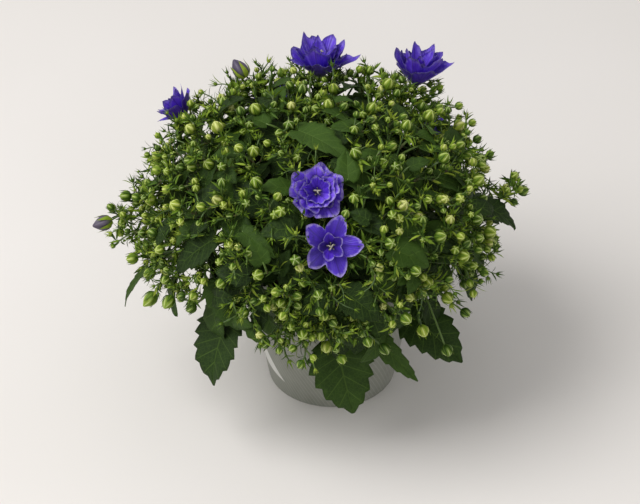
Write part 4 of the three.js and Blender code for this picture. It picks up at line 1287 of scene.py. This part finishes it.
def ripe_look():
    """Bud about to open: grey violet with dark folds over olive."""
    look = Look("opening_bud", 0.5)
    height, rib, tint = look.form()
    base = look.ramp(tint, (0, (98, 100, 62)), (0.6, (92, 82, 84)), (1, (80, 72, 100)))
    striped = look.blend(look.times(look.band(rib, 0.1, -0.8), 0.75), base, (52, 44, 66))
    look.bump(look.noise(500), 0.2, 0.0003)
    return look.finish(look.blend(look.band(height, 0.4, 0.05), striped, (84, 100, 50)))


def petal_look(name, tone, hem):
    """Violet blue, darker along fine veins, with painted shade down the throat and pale edges that are
    partly painted highlight.
    """
    look = Look(f"petals_of_{name}", 0.5, Sheen_Weight=0.2, Sheen_Roughness=0.4)
    along, across, tint = look.form()
    look.shader.inputs["Sheen Tint"].default_value = linear((190, 180, 255))
    cloud = look.plus(look.times(look.noise(220, 4), 0.6), look.times(look.noise(70), 0.4))
    shade = look.plus(look.times(tint, 0.4), look.times(cloud, 0.8))
    # The bloom's lighter or darker setting is partly painted shade: bloom_front is darkened where it lies
    # in shade.
    shade = look.plus(shade, tone - 0.1, True)
    violet = look.ramp(shade, (0.12, (36, 8, 116)), (0.45, (72, 30, 192)), (0.9, (126, 90, 236)))
    lines = look.math("ABSOLUTE", look.math("SINE", look.times(across, 20.0)))
    vein = look.times(look.band(lines, 0.35, 0.0), look.band(along, 1.0, 0.4))
    middle = look.band(look.math("ABSOLUTE", across), 0.09, 0.0)
    veined = look.blend(look.times(look.math("MAXIMUM", vein, middle), 0.6), violet, (36, 10, 108))
    # Painted shade: the inner part of each whorl, down the throat, is darkened.
    throat = look.blend(look.band(along, 0.5, 0.1), veined, (34, 12, 96))
    # Pale petal edges: partly the petals' own paler edge, partly a painted highlight along the edges.
    wavy = look.plus(along, look.times(look.minus(look.noise(400, 2), 0.5), 0.3))
    look.bump(look.plus(lines, cloud), 0.35, 0.0004)
    return look.finish(look.blend(look.times(look.band(wavy, 0.86, 1.02), hem), throat, (178, 164, 222)))


def style_look():
    look = Look("style_and_stamen", 0.6)
    _, _, tint = look.form()
    pale = look.ramp(tint, (0, (140, 136, 84)), (0.5, (150, 150, 112)), (1, (184, 178, 160)))
    look.bump(look.noise(1200), 0.3, 0.0002)
    return look.finish(look.blend(look.times(look.noise(500), 0.5), pale, (112, 100, 140)))


# The label: a bare pale panel round the left, cut off at a slant on its right and below
PANEL_AZIMUTH = -134
PANEL_END = -176
PANEL_LOW = 13
PANEL_HIGH = 88
PANEL_SLANT = 1.1
PANEL_RISE = 11.5


def pot_look():
    """Grey moulded plastic with fine slanting hatching in its print, and a blank pale panel."""
    look = Look("pot_plastic", 0.45, Specular_IOR_Level=0.4)
    x, y, z = look.split(look.place())
    turn = look.math("ARCTAN2", y, x)
    height = look.times(z, 1 / MM)
    grain = look.noise(60, 4)
    grey = look.ramp(grain, (0.3, (124, 127, 117)), (0.7, (140, 142, 133)))
    slant = look.plus(look.times(turn, 95.0), look.times(height, 1.2))
    hatch = look.band(look.math("SINE", slant), 0.55, 0.95)
    printed = look.blend(look.times(hatch, 0.35), grey, (164, 165, 156))
    left = look.minus(math.radians(PANEL_AZIMUTH), turn)
    low = look.plus(PANEL_LOW, look.times(left, PANEL_RISE))
    cut = look.times(look.minus(height, PANEL_LOW), math.radians(PANEL_SLANT))
    edges = (look.band(look.minus(left, cut), -0.006, 0.006), look.band(look.minus(height, low), -0.4, 0.4),
             look.band(height, PANEL_HIGH, PANEL_HIGH - 0.8),
             look.math("GREATER_THAN", turn, math.radians(PANEL_END)))
    inside = edges[0]
    for edge in edges[1:]:
        inside = look.times(inside, edge)
    look.put(look.plus(0.4, look.times(grain, 0.15)), look.shader.inputs["Roughness"])
    look.bump(look.noise(1500, 2), 0.12, 0.0001)
    return look.finish(look.blend(inside, printed, (214, 214, 210)))


def soil_look():
    look = Look("potting_soil", 0.95)
    crumbs = look.noise(700, 6)
    dark = look.ramp(crumbs, (0.3, (22, 15, 10)), (0.55, (52, 37, 25)), (0.8, (92, 68, 46)))
    moss = look.band(look.noise(45, 3), 0.56, 0.66)
    look.bump(crumbs, 0.9, 0.0012)
    return look.finish(look.blend(look.times(moss, 0.5), dark, (62, 72, 28)))


# Pot and soil
STEP_HEIGHT = POT_HEIGHT - POT_RIM_HEIGHT
WALL_TOP = POT_TOP_RADIUS - POT_RIM_STEP
POT_SIDES = 120
POT_ROUNDING = 0.9
HUB = DRAIN_CIRCLE_RADIUS + DRAIN_HOLE_RADIUS + 3
SOIL_SIDES, SOIL_RINGS = 96, 26
SOIL_MIDDLE, SOIL_EDGE = 40, SOIL_TOP - 0.8
CRUMBS = 420
CRUMB_WIDTHS, CRUMB_HEIGHTS = (0.5, 1.5), (0.4, 0.9)


def add_rings(build, profile, sides):
    points = [place * radius + UP * z for radius, z in profile for place in circle(sides)]
    build.add(points, grid_faces(len(profile), sides, True))


def rounded(corners, radius):
    """An outline of (radius, height) corners with each corner cut to a small arc."""
    outline = [corners[0]]
    for before, corner, after in zip(corners, corners[1:], corners[2:]):
        corner = np.array(corner, float)
        a, b = np.array(before) - corner, np.array(after) - corner
        cut_a = corner + a * min(0.45, radius / np.linalg.norm(a))
        cut_b = corner + b * min(0.45, radius / np.linalg.norm(b))
        for t in (0, 0.33, 0.67, 1):
            outline.append(tuple((1 - t) ** 2 * cut_a + 2 * t * (1 - t) * corner + t * t * cut_b))
    return outline + [corners[-1]]


def dress_pot():
    """Turned wall with a stepped rim, on a floor with round drain holes."""
    build = Build("pot")
    inside = POT_TOP_RADIUS - POT_WALL
    add_rings(build, rounded([
        (HUB, 0), (POT_BASE_RADIUS - 0.2, 0), (WALL_TOP, STEP_HEIGHT), (POT_TOP_RADIUS, STEP_HEIGHT + 0.8),
        (POT_TOP_RADIUS, POT_HEIGHT), (inside, POT_HEIGHT), (inside, STEP_HEIGHT + 1.4),
        (WALL_TOP - POT_WALL, STEP_HEIGHT), (POT_BASE_RADIUS - POT_WALL, POT_FLOOR), (HUB, POT_FLOOR),
    ], POT_ROUNDING), POT_SIDES)
    for k in range(DRAIN_HOLES):
        add_floor_sector(build, k)
    build.finish([pot_look()], "pot_plastic")


def add_floor_sector(build, k):
    """A sixth of the floor, from its hole out to the hub, with the wall of the hole."""
    centre = ray((k + 0.5) * TURN / DRAIN_HOLES) * DRAIN_CIRCLE_RADIUS
    sector = POT_SIDES // DRAIN_HOLES
    arc = [ray((k * sector + i) * TURN / POT_SIDES) * HUB for i in range(sector + 1)]
    border = [arc[0] * share for share in (0, 0.25, 0.5, 0.75)] + arc
    border += [arc[-1] * share for share in (0.75, 0.5, 0.25)]
    rim = [centre + unit(place - centre) * DRAIN_HOLE_RADIUS for place in border]
    top = UP * POT_FLOOR
    faces = grid_faces(2, len(border), True)
    build.add(border + rim, flipped(faces))
    build.add(np.array(border + rim) + top, faces)
    build.add(rim + [place + top for place in rim], flipped(faces))


def soil_radius(height):
    flare = (WALL_TOP - POT_BASE_RADIUS) / STEP_HEIGHT
    return POT_BASE_RADIUS - POT_WALL + flare * height - 2 * CLEARANCE


def dress_soil(shoots, between):
    """Peat with a rough top, crumbs on it and a low collar round each stem."""
    build = Build("soil")
    low = POT_FLOOR + CLEARANCE
    top_radius = soil_radius(SOIL_TOP)
    wall = [(soil_radius(height), height) for height in (low, SOIL_MIDDLE)] + [(top_radius, SOIL_EDGE)]
    add_rings(build, [(0.01, low)] + wall, SOIL_SIDES)
    feet = np.array([shoot.foot[:2] for shoot in shoots])
    points = []
    for r in range(SOIL_RINGS):
        for place in circle(SOIL_SIDES) * (top_radius * (1 - r / (SOIL_RINGS - 1)) + 0.01):
            x, y, _ = place
            near = np.sqrt(((feet - (x, y)) ** 2).sum(1)).min()
            lump = math.sin(x * 0.31 + 2 * math.sin(y * 0.17))
            lump += math.sin(y * 0.37 + 1.3 * math.sin(x * 0.23))
            rise = lump * 0.5 + math.exp(-((near / 5) ** 2)) + between(-0.35, 0.35) if r else 0
            points.append(place + UP * (SOIL_EDGE + rise))
    build.add(points, grid_faces(SOIL_RINGS, SOIL_SIDES, True))
    for _ in range(CRUMBS):
        turn, reach = between(0, TURN), math.sqrt(between(0, 1)) * (top_radius - 3)
        add_crumb(build, ray(turn) * reach + UP * (SOIL_TOP - 0.2), between)
    build.finish([soil_look()], "potting_soil")


def add_crumb(build, place, between):
    size = vec(between(*CRUMB_WIDTHS), between(*CRUMB_WIDTHS), between(*CRUMB_HEIGHTS))
    points = [place + size * unit(corner * ring * 1.6 + UP * z) * between(0.8, 1.2)
              for z, ring in ((-1, 0.5), (0, 1), (1, 0.5)) for corner in circle(6)]
    points.append(place + UP * size[2] * 1.1)
    build.add(points, grid_faces(3, 6, True) + fan_faces(12, 6, 18))


# Stage: a pale floor under soft light, seen from the photograph's viewpoint
CAMERA_PLACE = Vector((0, -1.2732, 1.0583))
CAMERA_AIM = Vector((-0.008, 0, 0.098))
CAMERA_LENS = 136
FLOOR_SIZE = 12
LIGHT_AIM = Vector((0, 0, 0.1))


def link(name, data, place, aim):
    """Puts a camera or a lamp at a place, looking at a point."""
    made = bpy.data.objects.new(name, data)
    made.location = place
    made.rotation_euler = (aim - Vector(place)).to_track_quat("-Z", "Y").to_euler()
    bpy.context.scene.collection.objects.link(made)
    return made


def area_light(name, place, size, power, colour):
    light = bpy.data.lights.new(name, "AREA")
    light.size, light.energy, light.color = size, power, colour
    link(name, light, place, LIGHT_AIM)


def lay_floor():
    look = Look("pale_floor", 0.6)
    pale = look.finish(look.ramp(look.noise(3, 2), (0.3, (226, 223, 220)), (0.7, (230, 227, 225))))
    half = FLOOR_SIZE / 2
    corners = [(-half, -half, 0), (half, -half, 0), (half, half, 0), (-half, half, 0)]
    mesh = bpy.data.meshes.new("floor")
    mesh.from_pydata(corners, [], [(0, 1, 2, 3)])
    mesh.materials.append(pale)
    floor = bpy.data.objects.new("floor", mesh)
    bpy.context.scene.collection.objects.link(floor)


def set_stage():
    scene = bpy.context.scene
    lay_floor()
    area_light("key", (-1.3, -0.4, 1.95), 1.5, 43, (1, 0.985, 0.96))
    area_light("fill", (0.2, -2.2, 0.9), 1.6, 6, (1, 0.98, 0.96))
    world = bpy.data.worlds.new("studio")
    world.use_nodes = True
    world.node_tree.nodes["Background"].inputs["Color"].default_value = (1, 0.985, 0.97, 1)
    world.node_tree.nodes["Background"].inputs["Strength"].default_value = 0.53
    scene.world = world
    scene.view_settings.view_transform = "Standard"
    scene.camera = link("camera", bpy.data.cameras.new("camera"), CAMERA_PLACE, CAMERA_AIM)
    scene.camera.data.lens = CAMERA_LENS


# The plant
shoots = grow()
thicket = thicken(shoots)
foliage = [stem_look(), leaf_look(), body_look(), sepal_look(), ripe_look()]
style = style_look()
for shoot in shoots:
    dress_shoot(shoot, foliage, thicket.random)
for name in BLOOMS:
    dress_bloom(name, style, thicket.random)
dress_pot()
dress_soil(shoots, thicket.between)
set_stage()
